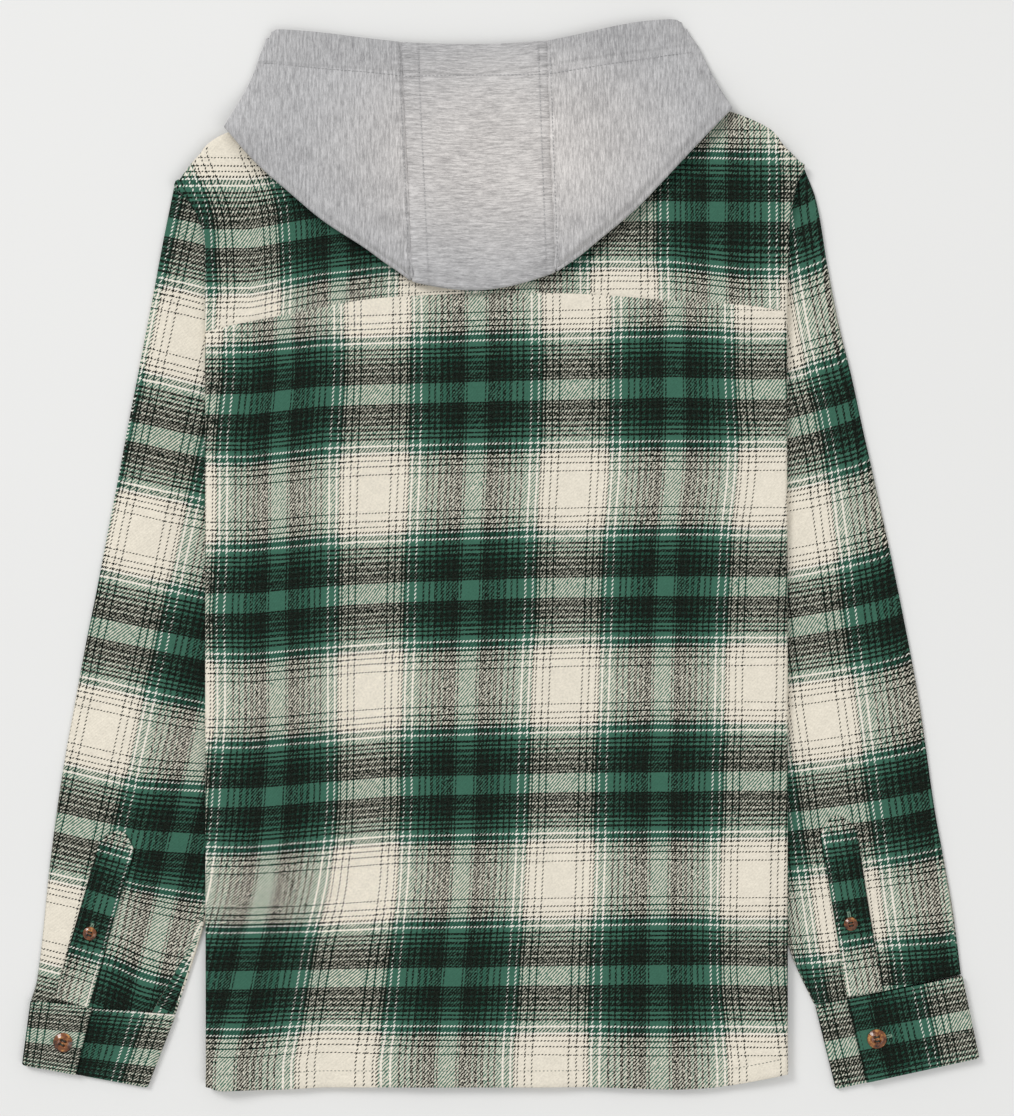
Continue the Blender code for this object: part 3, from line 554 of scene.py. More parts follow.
# Looks of the materials: the scale, detail and roughness of each noise, how far some are drawn out
# each way, and then what each cause adds
NOISES = {
    "wobble": (0.03, 2.0, 0.5),
    "stray": (0.5, 2.0, 0.5),
    "fuzz": (1.6, 3.0, 0.7),
    "broken": (1.0, 1.0, 0.5),
    "grain": (1.0, 1.0, 0.5),
    "blotch": (0.11, 3.0, 0.6),
    "speck": (1.0, 1.0, 0.6),
    "haze": (1.3, 2.0, 0.8),
    "long streak": (1.0, 3.0, 0.6),
    "short streak": (1.0, 2.0, 0.6),
    "fibre": (1.0, 2.0, 0.7),
    "cloud": (0.02, 2.0, 0.5),
    "pucker": (1.0, 2.0, 0.5),
    "horn cloud": (190.0, 3.0, 0.6),
    "horn vein": (420.0, 2.0, 0.5),
    "twist": (900.0, 2.0, 0.6),
    "paper": (3.0, 2.0, 0.5),
}
DRAWN_OUT = {
    "broken": (0.8, 1.0 / 4.5),
    "grain": (1.05, 0.7),
    "speck": (0.55, 0.6),
    "long streak": (0.75, 0.085),
    "short streak": (1.7, 0.3),
    "fibre": (3.2, 0.9),
    "pucker": (70.0, 230.0),
}
OnLines = namedtuple("OnLines", "plain dark light")
STRAY_REACH = 0.9
BROKEN_RIBS = OnLines(plain=2.6, dark=0.0, light=-1.6)
THREAD_GRAIN = OnLines(plain=3.0, dark=3.2, light=-2.2)
SPECK = OnLines(plain=0.35, dark=2.6, light=0.0)
HAZE = OnLines(plain=0.012, dark=0.035, light=0.0)
HAZE_STOPS = (0.52, 0.72)
HAZE_COLOUR = (0.62, 0.62, 0.58)
RIB_EDGE = 0.05
NAP_EDGE = 0.25
WEFT_OVER = 0.45
WARP_OVER = 0.2
LIGHT_OVER = 0.2
PLAIN_BLEND = 0.18
FUZZ_SHADE = 0.35
BLOTCH_SHADE = 0.22
LINE_MARK = 1.0
BAND_MARK = 0.5
MARK_REACH = 0.2
RIB_HEIGHT = 0.5
FUZZ_HEIGHT = 1.4
HEATHER = {"long streak": 0.5, "short streak": 0.3, "fibre": 0.2}
HEATHER_CONTRAST = 2.6
CLOUD_SHADE = 0.35
# Painted light and shade on the hood: where the painted lighter middle fades out, the tint of that painted
# light, and the tint of the painted bluish shade at the edges
HOOD_PAINTED_LIGHT_FADES = (0.1, 0.85)
HOOD_PAINTED_LIT = (1.27, 1.235, 1.21)
HOOD_PAINTED_SHADE = (0.925, 0.935, 0.96)
# Painted shade on the hood's jersey: how far the painted puckers beside the gusset seams, the painted dark
# lines along the rows of stitches and along the casing's furrow reach, and how much each lightens or darkens
# the colour; the band above the casing is drawn a little darker
PUCKER_REACH = (0.002, 0.013)
ROW_REACH = (0.0003, 0.0014)
BAND_REACH = (0.0, 0.0015)
FURROW_REACH = (0.0003, 0.0018)
PAINTED_PUCKER_SHADE = 0.8
BAND_SHADE = 0.05
PAINTED_FURROW_SHADE = 0.13
PAINTED_ROW_SHADE = 0.09
KNIT_WALE = 1.1
KNIT_COURSE = 1.4
KNIT_HEIGHT = 0.35
FIBRE_HEIGHT = 1.2
PUCKER_HEIGHT = 9.0
HORN_CLOUD = 0.7
HORN_CONTRAST = 2.4
HORN_DARK = (0.020, 0.006, 0.003)
HORN_AMBER = (0.19, 0.058, 0.015)
HORN_PALE = (0.62, 0.31, 0.09)
HORN_AMBER_STOPS = (0.15, 0.6)
HORN_PALE_STOPS = (0.55, 0.9)
TWIST_STOPS = (0.3, 0.7)
PAPER_DARK = (0.755, 0.755, 0.745)
PAPER_LIGHT = (0.77, 0.77, 0.76)

FLOOR_GAP = 0.05
FLOOR_REACH = 6000.0
FLOOR_STEPS = 81
FLOOR_RISE = 0.4

# Camera and stage
FOCAL_LENGTH = 85.0
SENSOR = 36.0
FAR_CLIP = 20.0
CAMERA_HEIGHT = 1.921
CAMERA_X = 0.0044
CAMERA_Y = -0.0033
Light = namedtuple("Light", "name place size power")
LIGHTS = (
    Light(name="window", place=(-4.2, 3.8, 5.0), size=2.6, power=270.0),
    Light(name="fill", place=(4.0, -3.0, 7.0), size=5.0, power=150.0),
)
SKY = 0.62


class ClothSettings(bpy.types.PropertyGroup):
    """Colours and strengths of the flannel and the jersey."""

    cream: bpy.props.FloatVectorProperty(
        name="Cream", description="Widest light stripe", subtype="COLOR", default=(0.745, 0.69, 0.583)
    )
    white: bpy.props.FloatVectorProperty(
        name="White", description="Thin light lines", subtype="COLOR", default=(0.76, 0.745, 0.68)
    )
    green: bpy.props.FloatVectorProperty(
        name="Green", description="Main green stripe", subtype="COLOR", default=(0.042, 0.128, 0.087)
    )
    dark: bpy.props.FloatVectorProperty(
        name="Dark green", description="Narrow dark stripe", subtype="COLOR", default=(0.014, 0.065, 0.042)
    )
    deep: bpy.props.FloatVectorProperty(
        name="Deep green", description="Gaps between the fine dark lines", subtype="COLOR",
        default=(0.008, 0.028, 0.019),
    )
    black: bpy.props.FloatVectorProperty(
        name="Black", description="Fine dark lines", subtype="COLOR", default=(0.0036, 0.0066, 0.0037)
    )
    nap: bpy.props.FloatProperty(
        name="Nap", description="How far the brushed surface blurs the twill", default=0.55, min=0.0, max=1.0,
        subtype="FACTOR",
    )
    jersey_light: bpy.props.FloatVectorProperty(
        name="Jersey light", description="Light fibres of the hood", subtype="COLOR",
        default=(0.61, 0.60, 0.59),
    )
    jersey_dark: bpy.props.FloatVectorProperty(
        name="Jersey dark", description="Dark fibres of the hood", subtype="COLOR",
        default=(0.25, 0.245, 0.245),
    )


class SewingSettings(bpy.types.PropertyGroup):
    """Sizes of the folds, seams and stitches."""

    crease: bpy.props.FloatProperty(
        name="Crease strength", description="Height of the folds, as a share of their own heights",
        default=1.0, min=0.0, max=1.5, subtype="FACTOR",
    )
    stitch: bpy.props.FloatProperty(
        name="Stitch length", description="Length of one stitch with its gap", default=0.0028, min=0.0015,
        max=0.005, unit="LENGTH",
    )
    thread: bpy.props.FloatProperty(
        name="Thread", description="Thickness of the sewing thread", default=0.00045, min=0.0002, max=0.001,
        unit="LENGTH",
    )


def sewing():
    """The sewing settings of the scene."""
    return bpy.context.scene.shirt_sewing


# Materials


class Signal:
    """A number in a material; arithmetic on it adds Math nodes."""

    def __init__(self, shader, socket):
        self.shader = shader
        self.socket = socket

    def maths(self, operation, *others):
        """Any Math node on this number and others."""
        inputs = dict(enumerate((self, *others)))
        return self.shader.node("ShaderNodeMath", {"operation": operation}, inputs)

    def __add__(self, other):
        return self.maths("ADD", other)

    def __mul__(self, other):
        return self.maths("MULTIPLY", other)

    def __sub__(self, other):
        return self.maths("SUBTRACT", other)

    def __rsub__(self, other):
        return (self * -1.0) + other

    def __truediv__(self, other):
        return self.maths("DIVIDE", other)

    __radd__ = __add__
    __rmul__ = __mul__

    def __abs__(self):
        return self.maths("ABSOLUTE")

    def rises(self, start, end):
        """0 before start, 1 after end, and an S-curve between."""
        return self.shader.node(
            "ShaderNodeMapRange", {"interpolation_type": "SMOOTHSTEP"}, {0: self, 1: start, 2: end}
        )


class Shader:
    """One material and the nodes in it."""

    def __init__(self, name):
        self.material = bpy.data.materials.new(name)
        self.material.use_nodes = True
        self.tree = self.material.node_tree
        self.surface = self.tree.nodes["Principled BSDF"]

    def node(self, kind, settings, inputs, output=0):
        """Any node, from its type, its settings and the values or links of its sockets."""
        node = self.tree.nodes.new(kind)
        for name, value in settings.items():
            if name == "stops":
                self.fill_ramp(node.color_ramp, value)
            else:
                setattr(node, name, value)
        for name, value in inputs.items():
            self.feed(node.inputs[name], value)
        return Signal(self, node.outputs[output])

    def feed(self, socket, value):
        """Links a signal to a socket, or sets the socket to a value."""
        if isinstance(value, Signal):
            self.tree.links.new(value.socket, socket)
        else:
            socket.default_value = value

    def fill_ramp(self, ramp, stops):
        """Steps of flat colour, each from its position to the next."""
        ramp.interpolation = "CONSTANT"
        while len(ramp.elements) < len(stops):
            ramp.elements.new(1.0)
        for element, (position, colour) in zip(ramp.elements, stops):
            element.position = position
            element.color = colour

    def mix(self, factor, first, second, blend="MIX"):
        """A colour between two colours."""
        first, second = ((*c, 1.0) if isinstance(c, tuple) else c for c in (first, second))
        return self.node(
            "ShaderNodeMix", {"data_type": "RGBA", "blend_type": blend}, {0: factor, 6: first, 7: second}, 2
        )

    def noise(self, place, kind):
        """Smooth random values about 0.5, with a number of features per unit of the place."""
        scale, detail, roughness = NOISES[kind]
        inputs = {"Vector": place, "Scale": scale, "Detail": detail, "Roughness": roughness}
        return self.node("ShaderNodeTexNoise", {}, inputs)

    def drawn_out(self, across, along, kind):
        """Noise with its own number of features per unit each way."""
        wide, long = DRAWN_OUT[kind]
        place = self.node("ShaderNodeCombineXYZ", {}, {0: across * wide, 1: along * long})
        return self.noise(place, kind)

    def shaded(self, colour, amount):
        """A colour made lighter or darker by a number."""
        grey = self.node("ShaderNodeCombineColor", {}, {0: amount, 1: amount, 2: amount})
        return self.mix(1.0, colour, grey, "MULTIPLY")

    def object_place(self):
        """The point in the piece's own metres."""
        return self.node("ShaderNodeTexCoord", {}, {}, 3)

    def parts(self, vector):
        """The three parts of a point."""
        split = self.node("ShaderNodeSeparateXYZ", {}, {0: vector})
        return [Signal(self, output) for output in split.socket.node.outputs]

    def bump(self, height, strength, distance):
        """A height in millimetres, as the surface's normal."""
        inputs = {"Height": height, "Strength": strength, "Distance": distance * MM}
        self.feed(self.surface.inputs["Normal"], self.node("ShaderNodeBump", {}, inputs))

    def finish(self, **values):
        """Sets or links the surface's own sockets."""
        for name, value in values.items():
            value = (*value, 1.0) if isinstance(value, tuple) else value
            self.feed(self.surface.inputs[name.replace("_", " ")], value)
        return self.material


def stripes(shader, place, repeat, bands, lines, colours):
    """One set of threads, which mirrors at each half repeat: its colour, and marks for its lines.

    The ramp's alpha is LINE_MARK in a black line, and BAND_MARK in a white or black band.
    """
    half = repeat / 2
    stops = []
    for band in bands:
        mark = BAND_MARK if band.colour in ("white", "black") else 0.0
        stops.append((band.start, (*colours[band.colour], mark)))
    for line in lines:
        stops.append((line.middle - line.width / 2, (*colours["black"], LINE_MARK)))
        stops.append((line.middle + line.width / 2, (*colours[line.after], 0.0)))
    folded = place.maths("PINGPONG", half)
    settings = {"stops": [(start / half, colour) for start, colour in stops]}
    thread = shader.node("ShaderNodeValToRGB", settings, {0: folded / half})
    mark = Signal(shader, thread.socket.node.outputs["Alpha"])
    in_line = mark.maths("GREATER_THAN", (LINE_MARK + BAND_MARK) / 2)
    return thread, in_line, mark.maths("COMPARE", BAND_MARK, MARK_REACH)


def flannel_material(settings):
    """Brushed twill: a check of warp and weft stripes, shown in diagonal ribs and blurred by its nap."""
    shader = Shader("brushed_flannel")
    names = ("cream", "white", "green", "dark", "deep", "black")
    colours = {name: tuple(part ** (1.0 / EYE) for part in getattr(settings, name)) for name in names}
    cloth = shader.node("ShaderNodeUVMap", {"uv_map": "Cloth"}, {})
    wobble = shader.noise(cloth, "wobble") - 0.5
    fuzz = shader.noise(cloth, "fuzz")
    stray = (shader.noise(cloth, "stray") - 0.5) * STRAY_REACH
    u, v, _ = shader.parts(cloth)
    across, along = u + wobble + stray, v + wobble + stray
    warp, warp_line, warp_light = stripes(shader, across, WARP_REPEAT, WARP_STRIPES, WARP_LINES, colours)
    weft, weft_line, weft_light = stripes(shader, along, WEFT_REPEAT, WEFT_STRIPES, WEFT_LINES, colours)
    turns = u / TWILL_ACROSS - v / TWILL_ALONG
    rib = (turns * (2 * np.pi)).maths("SINE")
    broken = shader.drawn_out(turns, u + v, "broken") - 0.5
    grain = shader.drawn_out(u, v, "grain") - 0.5
    dark_line = warp_line.maths("MAXIMUM", weft_line)
    light_line = warp_light.maths("MAXIMUM", weft_light)
    ribs = rib + broken * (BROKEN_RIBS.plain + light_line * BROKEN_RIBS.light)
    coarse = dark_line * THREAD_GRAIN.dark + THREAD_GRAIN.plain + light_line * THREAD_GRAIN.light
    softness = RIB_EDGE + NAP_EDGE * settings.nap
    face = weft_line * WEFT_OVER - warp_line * WARP_OVER + (warp_light - weft_light) * LIGHT_OVER
    over = (ribs + grain * coarse - (face + WEFT_FACE)).rises(-softness, softness)
    sheer = (1.0 - dark_line.maths("MAXIMUM", light_line)) * PLAIN_BLEND
    over = over + (0.5 - over) * sheer
    woven = shader.mix(over, weft, warp)
    show_through = (warp_line * WARP_SHOWS).maths("MAXIMUM", weft_line * WEFT_SHOWS)
    woven = shader.mix(show_through, woven, colours["black"])
    woven = shader.node("ShaderNodeGamma", {}, {0: woven, 1: EYE})
    blotch = shader.noise(cloth, "blotch") - 0.5
    speck = shader.drawn_out(u, v, "speck") - 0.5
    specks = speck * (dark_line * SPECK.dark + SPECK.plain)
    lint = (fuzz - 0.5) * FUZZ_SHADE + blotch * BLOTCH_SHADE + specks + 1.0
    haze = shader.noise(cloth, "haze").rises(*HAZE_STOPS) * (dark_line * HAZE.dark + HAZE.plain)
    base = shader.mix(haze, shader.shaded(woven, lint), HAZE_COLOUR)
    shader.bump(rib * RIB_HEIGHT + fuzz * FUZZ_HEIGHT, strength=0.6, distance=0.16)
    return shader.finish(Base_Color=base, Roughness=0.92, Specular_IOR_Level=0.12)


def jersey_material(name, settings, angle):
    """Heather jersey: fine fibres of two greys drawn out along the knit, which runs at an angle.

    Painted light and shade: the hood is painted lighter in its middle and darker, bluish, towards its edges;
    its seams' puckers are painted in lighter and darker patches, and its rows of stitches and its casing's
    furrow in darker lines.
    The band above the casing is drawn a little darker.
    """
    shader = Shader(name)
    cloth = shader.node("ShaderNodeUVMap", {"uv_map": "Cloth"}, {})
    turned = shader.node(
        "ShaderNodeVectorRotate", {"rotation_type": "Z_AXIS"}, {"Vector": cloth, "Angle": np.radians(angle)}
    )
    u, v, _ = shader.parts(turned)
    fibre = shader.drawn_out(u, v, "fibre")
    tone = fibre * HEATHER["fibre"]
    for streak in ("long streak", "short streak"):
        tone = tone + shader.drawn_out(u, v, streak) * HEATHER[streak]
    tone = (tone - 0.5) * HEATHER_CONTRAST + 0.5 + (shader.noise(cloth, "cloud") - 0.5) * CLOUD_SHADE
    mixed = shader.mix(tone.rises(0.0, 1.0), tuple(settings.jersey_dark), tuple(settings.jersey_light))
    # Painted light and shade: the jersey is tinted lighter near the hood's middle and darker, bluish, towards
    # its edges
    x, y, _ = shader.parts(shader.object_place())
    across, up = (x - HOOD_PAINTED_LIGHT.x) / HOOD_PAINTED_LIGHT.half_width, (y - HOOD_PAINTED_LIGHT.y) / HOOD_PAINTED_LIGHT.half_length
    away = (across * across + up * up).maths("SQRT").rises(*HOOD_PAINTED_LIGHT_FADES)
    mixed = shader.mix(1.0, mixed, shader.mix(away, HOOD_PAINTED_LIT, HOOD_PAINTED_SHADE), "MULTIPLY")
    # Painted shade: near the gusset seams the colour is painted lighter and darker in a noise, as the puckers
    # there would shade it, and darker along the rows of stitches; the same noise also bumps the surface
    left, right = (x - seam.x - (y - seam.y) * seam.slope for seam in GUSSET_SEAMS)
    near = 1.0 - abs(left).maths("MINIMUM", abs(right)).rises(*PUCKER_REACH)
    rows = abs(left - GUSSET_ROWS["left"] * MM).maths("MINIMUM", abs(right + GUSSET_ROWS["right"] * MM))
    row = 1.0 - rows.maths("MINIMUM", abs(left + SIDE_ROW * MM)).rises(*ROW_REACH)
    pucker = (shader.drawn_out(x, y, "pucker") - 0.5) * near
    # Painted shade: a dark line along the casing's furrow; the band above the casing line is drawn a little
    # darker
    from_middle = x - CASING_LINE.x
    rise = (from_middle * CASING_LINE.left).maths("MAXIMUM", from_middle * CASING_LINE.right)
    past_casing = y - (rise + CASING_LINE.y)
    band = past_casing.rises(*BAND_REACH)
    furrow = 1.0 - abs(past_casing).rises(*FURROW_REACH)
    # The painted shade of the puckers, the stitch rows and the furrow, with the darker casing band, as one
    # factor on the colour
    shade = pucker * PAINTED_PUCKER_SHADE + 1.0 - band * BAND_SHADE - furrow * PAINTED_FURROW_SHADE - row * PAINTED_ROW_SHADE
    knit = (u * (2 * np.pi / KNIT_WALE)).maths("SINE") * (v * (2 * np.pi / KNIT_COURSE)).maths("SINE")
    height = knit * KNIT_HEIGHT + fibre * FIBRE_HEIGHT + pucker * PUCKER_HEIGHT
    shader.bump(height, strength=0.5, distance=0.15)
    return shader.finish(
        Base_Color=shader.shaded(mixed, shade), Roughness=0.93, Sheen_Weight=0.1, Sheen_Roughness=0.6
    )


def button_material():
    """Mottled horn plastic: dark brown and amber clouds, gone glossy with wear."""
    shader = Shader("button_horn")
    place = shader.object_place()
    cloud, vein = shader.noise(place, "horn cloud"), shader.noise(place, "horn vein")
    tone = (cloud * HORN_CLOUD + vein * (1.0 - HORN_CLOUD) - 0.5) * HORN_CONTRAST + 0.5
    amber = shader.mix(tone.rises(*HORN_AMBER_STOPS), HORN_DARK, HORN_AMBER)
    colour = shader.mix(tone.rises(*HORN_PALE_STOPS), amber, HORN_PALE)
    return shader.finish(
        Base_Color=colour, Roughness=0.3, Specular_IOR_Level=0.1, Coat_Weight=1.0, Coat_Roughness=0.1
    )


def thread_material(name, dark, light):
    """Sewing thread: two shades that run along its twist."""
    shader = Shader(name)
    tone = shader.noise(shader.object_place(), "twist")
    return shader.finish(Base_Color=shader.mix(tone.rises(*TWIST_STOPS), dark, light), Roughness=0.7)


def floor_material():
    """Pale matt paper with a faint tooth."""
    shader = Shader("floor_paper")
    tone = shader.noise(shader.object_place(), "paper")
    return shader.finish(Base_Color=shader.mix(tone, PAPER_DARK, PAPER_LIGHT), Roughness=0.95)


# Shape maths


def smooth(value):
    """0 below 0, 1 above 1, and an S-curve between."""
    part = np.clip(value, 0.0, 1.0)
    return part * part * (3.0 - 2.0 * part)


def hump(value):
    """1 at 0, falling in an S-curve to 0 at 1 to either side."""
    return 1.0 - smooth(np.abs(value))


def curve_through(positions, values, at):
    """A smooth curve through points that never overshoots them.

    Each span is a cubic. The slope at a point is the harmonic mean of the slopes beside it, or level
    where they turn.
    """
    positions, values = np.asarray(positions, float), np.asarray(values, float)
    steps = np.diff(values) / np.diff(positions)
    before, after = steps[:-1], steps[1:]
    together = np.where(before + after == 0.0, 1.0, before + after)
    inner = np.where(before * after > 0.0, 2.0 * before * after / together, 0.0)
    slopes = np.concatenate([steps[:1], inner, steps[-1:]])
    start = np.clip(np.searchsorted(positions, at) - 1, 0, len(positions) - 2)
    width = positions[start + 1] - positions[start]
    part = np.clip((at - positions[start]) / width, 0.0, 1.0)
    left = 1.0 - part
    return (
        values[start] * (1.0 + 2.0 * part) * left**2
        + values[start + 1] * part**2 * (3.0 - 2.0 * part)
        + width * part * left * (slopes[start] * left - slopes[start + 1] * part)
    )


def read_table(rows, column, at):
    """A column of a table as a smooth curve; the first field is the position."""
    return curve_through([row[0] for row in rows], [getattr(row, column) for row in rows], at)


def edge_x(points, y):
    """The x of an edge at a height; its points run down it."""
    return curve_through([point.y for point in points[::-1]], [point.x for point in points[::-1]], y)


def along(points, share):
    """Points of a smooth open line at shares of its length; x and y are each a curve of that length."""
    corners = np.array(points, float)[:, :2]
    travelled = np.concatenate([[0.0], np.cumsum(np.hypot(*np.diff(corners, axis=0).T))])
    at = np.asarray(share) * travelled[-1]
    return np.stack([curve_through(travelled, corners[:, axis], at) for axis in (0, 1)], axis=-1)


def stack(*parts):
    """Places from their x, y and z, or other numbers side by side."""
    return np.stack(np.broadcast_arrays(*parts), axis=-1)


def raised(plan, z):
    """Places in plan with their heights."""
    return np.concatenate([plan, z[..., None]], axis=-1)


def unit(vectors):
    """Vectors drawn to a length of 1."""
    return vectors / np.maximum(np.linalg.norm(vectors, axis=-1, keepdims=True), TINY)


def grid_normals(grid, joined):
    """Unit normals of a grid, from the differences along its rows and columns."""
    if joined:
        across = np.roll(grid, -1, axis=1) - np.roll(grid, 1, axis=1)
    else:
        across = np.gradient(grid, axis=1)
    return unit(np.cross(across, np.gradient(grid, axis=0)))


def waves(x, y, size, seed):
    """Gentle random relief from -1 to 1: a sum of plane waves of about one size in random directions."""
    random = np.random.default_rng(seed)
    total = np.zeros(np.broadcast(x, y).shape)
    for _ in range(WAVE_COUNT):
        angle, phase = random.uniform(0, 2 * np.pi, 2)
        turn = 2 * np.pi / (size * random.uniform(*WAVE_SIZES))
        total += np.sin((x * np.cos(angle) + y * np.sin(angle)) * turn + phase)
    return total / WAVE_COUNT**0.5


def swell(x, y, piece):
    """A piece's own relief: its middle height and its waves, each of a height and a size."""
    level, rows = SWELLS[piece]
    return level + sum(row.height * waves(x, y, row.size, SEED + row.seed) for row in rows)


# Creases


def crease_height(x, y, creases):
    """Soft ridges and troughs: each follows a bent line from start to end through a middle point.

    A point's share along a line is read on its chord. Its distance is measured to the line's curve there.
    The profile is a hump across the line, steeper on one side by its lean, times a hump along it.
    """
    total = np.zeros(np.broadcast(x, y).shape)
    for crease in creases:
        run = np.array([crease.end_x - crease.x, crease.end_y - crease.y], float)
        length = np.hypot(*run)
        run = run / length
        down = ((x - crease.x) * run[0] + (y - crease.y) * run[1]) / length
        side = (y - crease.y) * run[0] - (x - crease.x) * run[1]
        side = side - crease.bow * 4.0 * down * (1.0 - down)
        reach = crease.width * np.where(side > 0, 1.0 + crease.lean, 1.0 - crease.lean)
        fade = smooth(down / CREASE_FADE) * smooth((1.0 - down) / CREASE_FADE)
        total += crease.height * hump(side / reach) * np.where((down > 0) & (down < 1), fade, 0.0)
    return total


# Meshes


def put_mesh(name, points, faces, sizes, maps, material):
    """One smooth-shaded object from points in millimetres, flat corner lists and maps of each corner."""
    mesh = bpy.data.meshes.new(name)
    mesh.vertices.add(len(points))
    mesh.vertices.foreach_set("co", (np.asarray(points) * MM).astype(np.float32).ravel())
    mesh.loops.add(len(faces))
    mesh.loops.foreach_set("vertex_index", np.asarray(faces, np.int32))
    mesh.polygons.add(len(sizes))
    starts = np.concatenate([[0], np.cumsum(sizes)[:-1]]).astype(np.int32)
    mesh.polygons.foreach_set("loop_start", starts)
    mesh.polygons.foreach_set("use_smooth", np.ones(len(sizes), bool))
    for title, corners in maps.items():
        layer = mesh.uv_layers.new(name=title)
        layer.uv.foreach_set("vector", np.asarray(corners, np.float32).ravel())
    mesh.update(calc_edges=True)
    mesh.validate()
    mesh.materials.append(material)
    built = bpy.data.objects.new(name, mesh)
    bpy.context.scene.collection.objects.link(built)
    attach(built, BODY)
    return built


def grid_quads(rows, columns, closed=True):
    """Corner numbers of a grid's quads. A closed grid's last column meets its first."""
    spans = columns if closed else columns - 1
    row, column = np.meshgrid(np.arange(rows - 1), np.arange(spans), indexing="ij")
    near, ahead = row * columns + column, row * columns + (column + 1) % columns
    return stack(near, near + columns, ahead + columns, ahead).reshape(-1, 4)


def bake_map(cloth_map):
    """Two maps from 0 to 1 for the bake, of even scale: the upper wall's, and below it the lower wall's."""
    spans = []
    for axis in (1, 0):
        steps = np.linalg.norm(np.diff(cloth_map, axis=axis), axis=-1).mean(axis=1 - axis)
        spans.append(np.concatenate([[0.0], np.cumsum(steps)]) / steps.sum())
    u, v = np.meshgrid(*spans)
    u = BAKE_EDGE + (1.0 - 2 * BAKE_EDGE) * u
    maps = [stack(u, low + (high - low) * v).reshape(-1, 2) for low, high in BAKE_BANDS]
    return np.concatenate(maps)


def cut_of(cloth_map):
    """The width, length and area in metres of the flat cloth that a piece's own map covers."""
    width, length = np.ptp(cloth_map.reshape(-1, 2), axis=0) * MM
    one = cloth_map[1:, 1:] - cloth_map[:-1, :-1]
    other = cloth_map[1:, :-1] - cloth_map[:-1, 1:]
    area = np.abs(one[..., 0] * other[..., 1] - one[..., 1] * other[..., 0]).sum() / 2 * MM**2
    return float(width), float(length), float(area)


def border(rows, columns, joined):
    """The point numbers round a grid's open edges, in closed loops that keep the grid on their left."""
    index = np.arange(rows * columns).reshape(rows, columns)
    if joined:
        return [index[0], index[-1][::-1]]
    return [np.concatenate([index[0], index[1:, -1], index[-1, -2::-1], index[-2:0:-1, 0]])]


def cloth_shell(name, grid, thickness, cloth_map, material, joined=False):
    """A closed wall round a grid: the grid moved out by half the thickness each way, and a rounded rim.

    The rim is one more line of points, a share of the thickness beyond the open edges. cloth_map gives
    each point's place on the flat cloth in millimetres; a joined grid's map has one column more, which
    ends where the first one starts. The bake's map keeps the upper wall and the lower wall apart.
    """
    rows, columns = grid.shape[:2]
    cut_of(cloth_map)
    normals = grid_normals(grid, joined)
    upper, lower = grid + normals * thickness / 2, grid - normals * thickness / 2
    flat_grid, flat_normals = grid.reshape(-1, 3), normals.reshape(-1, 3)
    count = rows * columns
    points = [upper.reshape(-1, 3), lower.reshape(-1, 3)]
    map_columns = cloth_map.shape[1]
    map_index = np.arange(rows * map_columns).reshape(rows, map_columns)
    index = map_index // map_columns * columns + map_index % map_columns % columns
    around, mapped = (
        stack(each[:-1, :-1], each[:-1, 1:], each[1:, 1:], each[1:, :-1]).reshape(-1, 4)
        for each in (index, map_index)
    )
    map_count = rows * map_columns
    quads = [around, around[:, ::-1] + count]
    map_quads = [mapped, mapped[:, ::-1] + map_count]
    rim_start = 2 * count
    for loop in border(rows, columns, joined):
        ahead = np.roll(loop, -1)
        tangent = flat_grid[ahead] - flat_grid[np.roll(loop, 1)]
        out = unit(np.cross(tangent, flat_normals[loop]))
        points.append(flat_grid[loop] + out * thickness * RIM_SHARE)
        rim = rim_start + np.arange(len(loop))
        rim_ahead = np.roll(rim, -1)
        rim_start += len(loop)
        quads += [stack(ahead, loop, rim, rim_ahead), stack(rim_ahead, rim, loop + count, ahead + count)]
        place = loop // columns * map_columns + loop % columns
        next_place = np.roll(place, -1)
        edge = stack(next_place, place, place, next_place)
        map_quads += [edge, edge + map_count]
    quads, map_quads = np.concatenate(quads), np.concatenate(map_quads)
    cloth = np.concatenate([cloth_map.reshape(-1, 2)] * 2)
    maps = {"OFBake": bake_map(cloth_map)[map_quads], "Cloth": cloth[map_quads]}
    sizes = np.full(len(quads), 4)
    return put_mesh(name, np.concatenate(points), quads.ravel(), sizes, maps, material)


def lay_piece(node, grid, thickness, cloth_map, material, joined=False):
    """A piece of cloth, named after the part of the frame that it stands for."""
    piece = cloth_shell(f"shirt_{node}", grid, thickness, cloth_map, material, joined)
    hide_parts(node)


# Heights of the layers, as in the frame


def turned_width(y):
    """How much of the body is turned under its side fold at a height."""
    rest = 1.0 - np.clip((y - UNDERARM_Y) / (ARMHOLE_SHOWS_Y - UNDERARM_Y), 0.0, 1.0)
    return TURNED_AT_SHOULDER + (TURNED_UNDER - TURNED_AT_SHOULDER) * rest**TURNED_TAPER


def fold_x(y, side):
    """The side fold of the body's middle surface, set in by the reach of the outer turn."""
    outward = OUTWARD[side]
    return read_table(BODY_EDGES, side, y) - outward * (BACK_TURN_RADIUS + FLANNEL / 2)


def inner_limit(y, side):
    """The innermost x that the sleeve reaches under the body."""
    outward = OUTWARD[side]
    armhole = fold_x(y, side) - outward * (turned_width(y) + ARMHOLE_LAP)
    return np.where(y > UNDERARM_Y, armhole, edge_x(SLEEVE_SHAPES[side].inner, y))


def beside(x, left, right, ramp):
    """1 outside a left and a right edge, falling to 0 inside them along a ramp."""
    return 1.0 - np.minimum(smooth((x - left) / ramp), smooth((right - x) / ramp))


def over_sleeves(x, y):
    """1 over a sleeve and its margin, falling to 0 inside it."""
    left, right = inner_limit(y, "left") + SLEEVE_MARGIN, inner_limit(y, "right") - SLEEVE_MARGIN
    return beside(x, left, right, SLEEVE_RAMP)


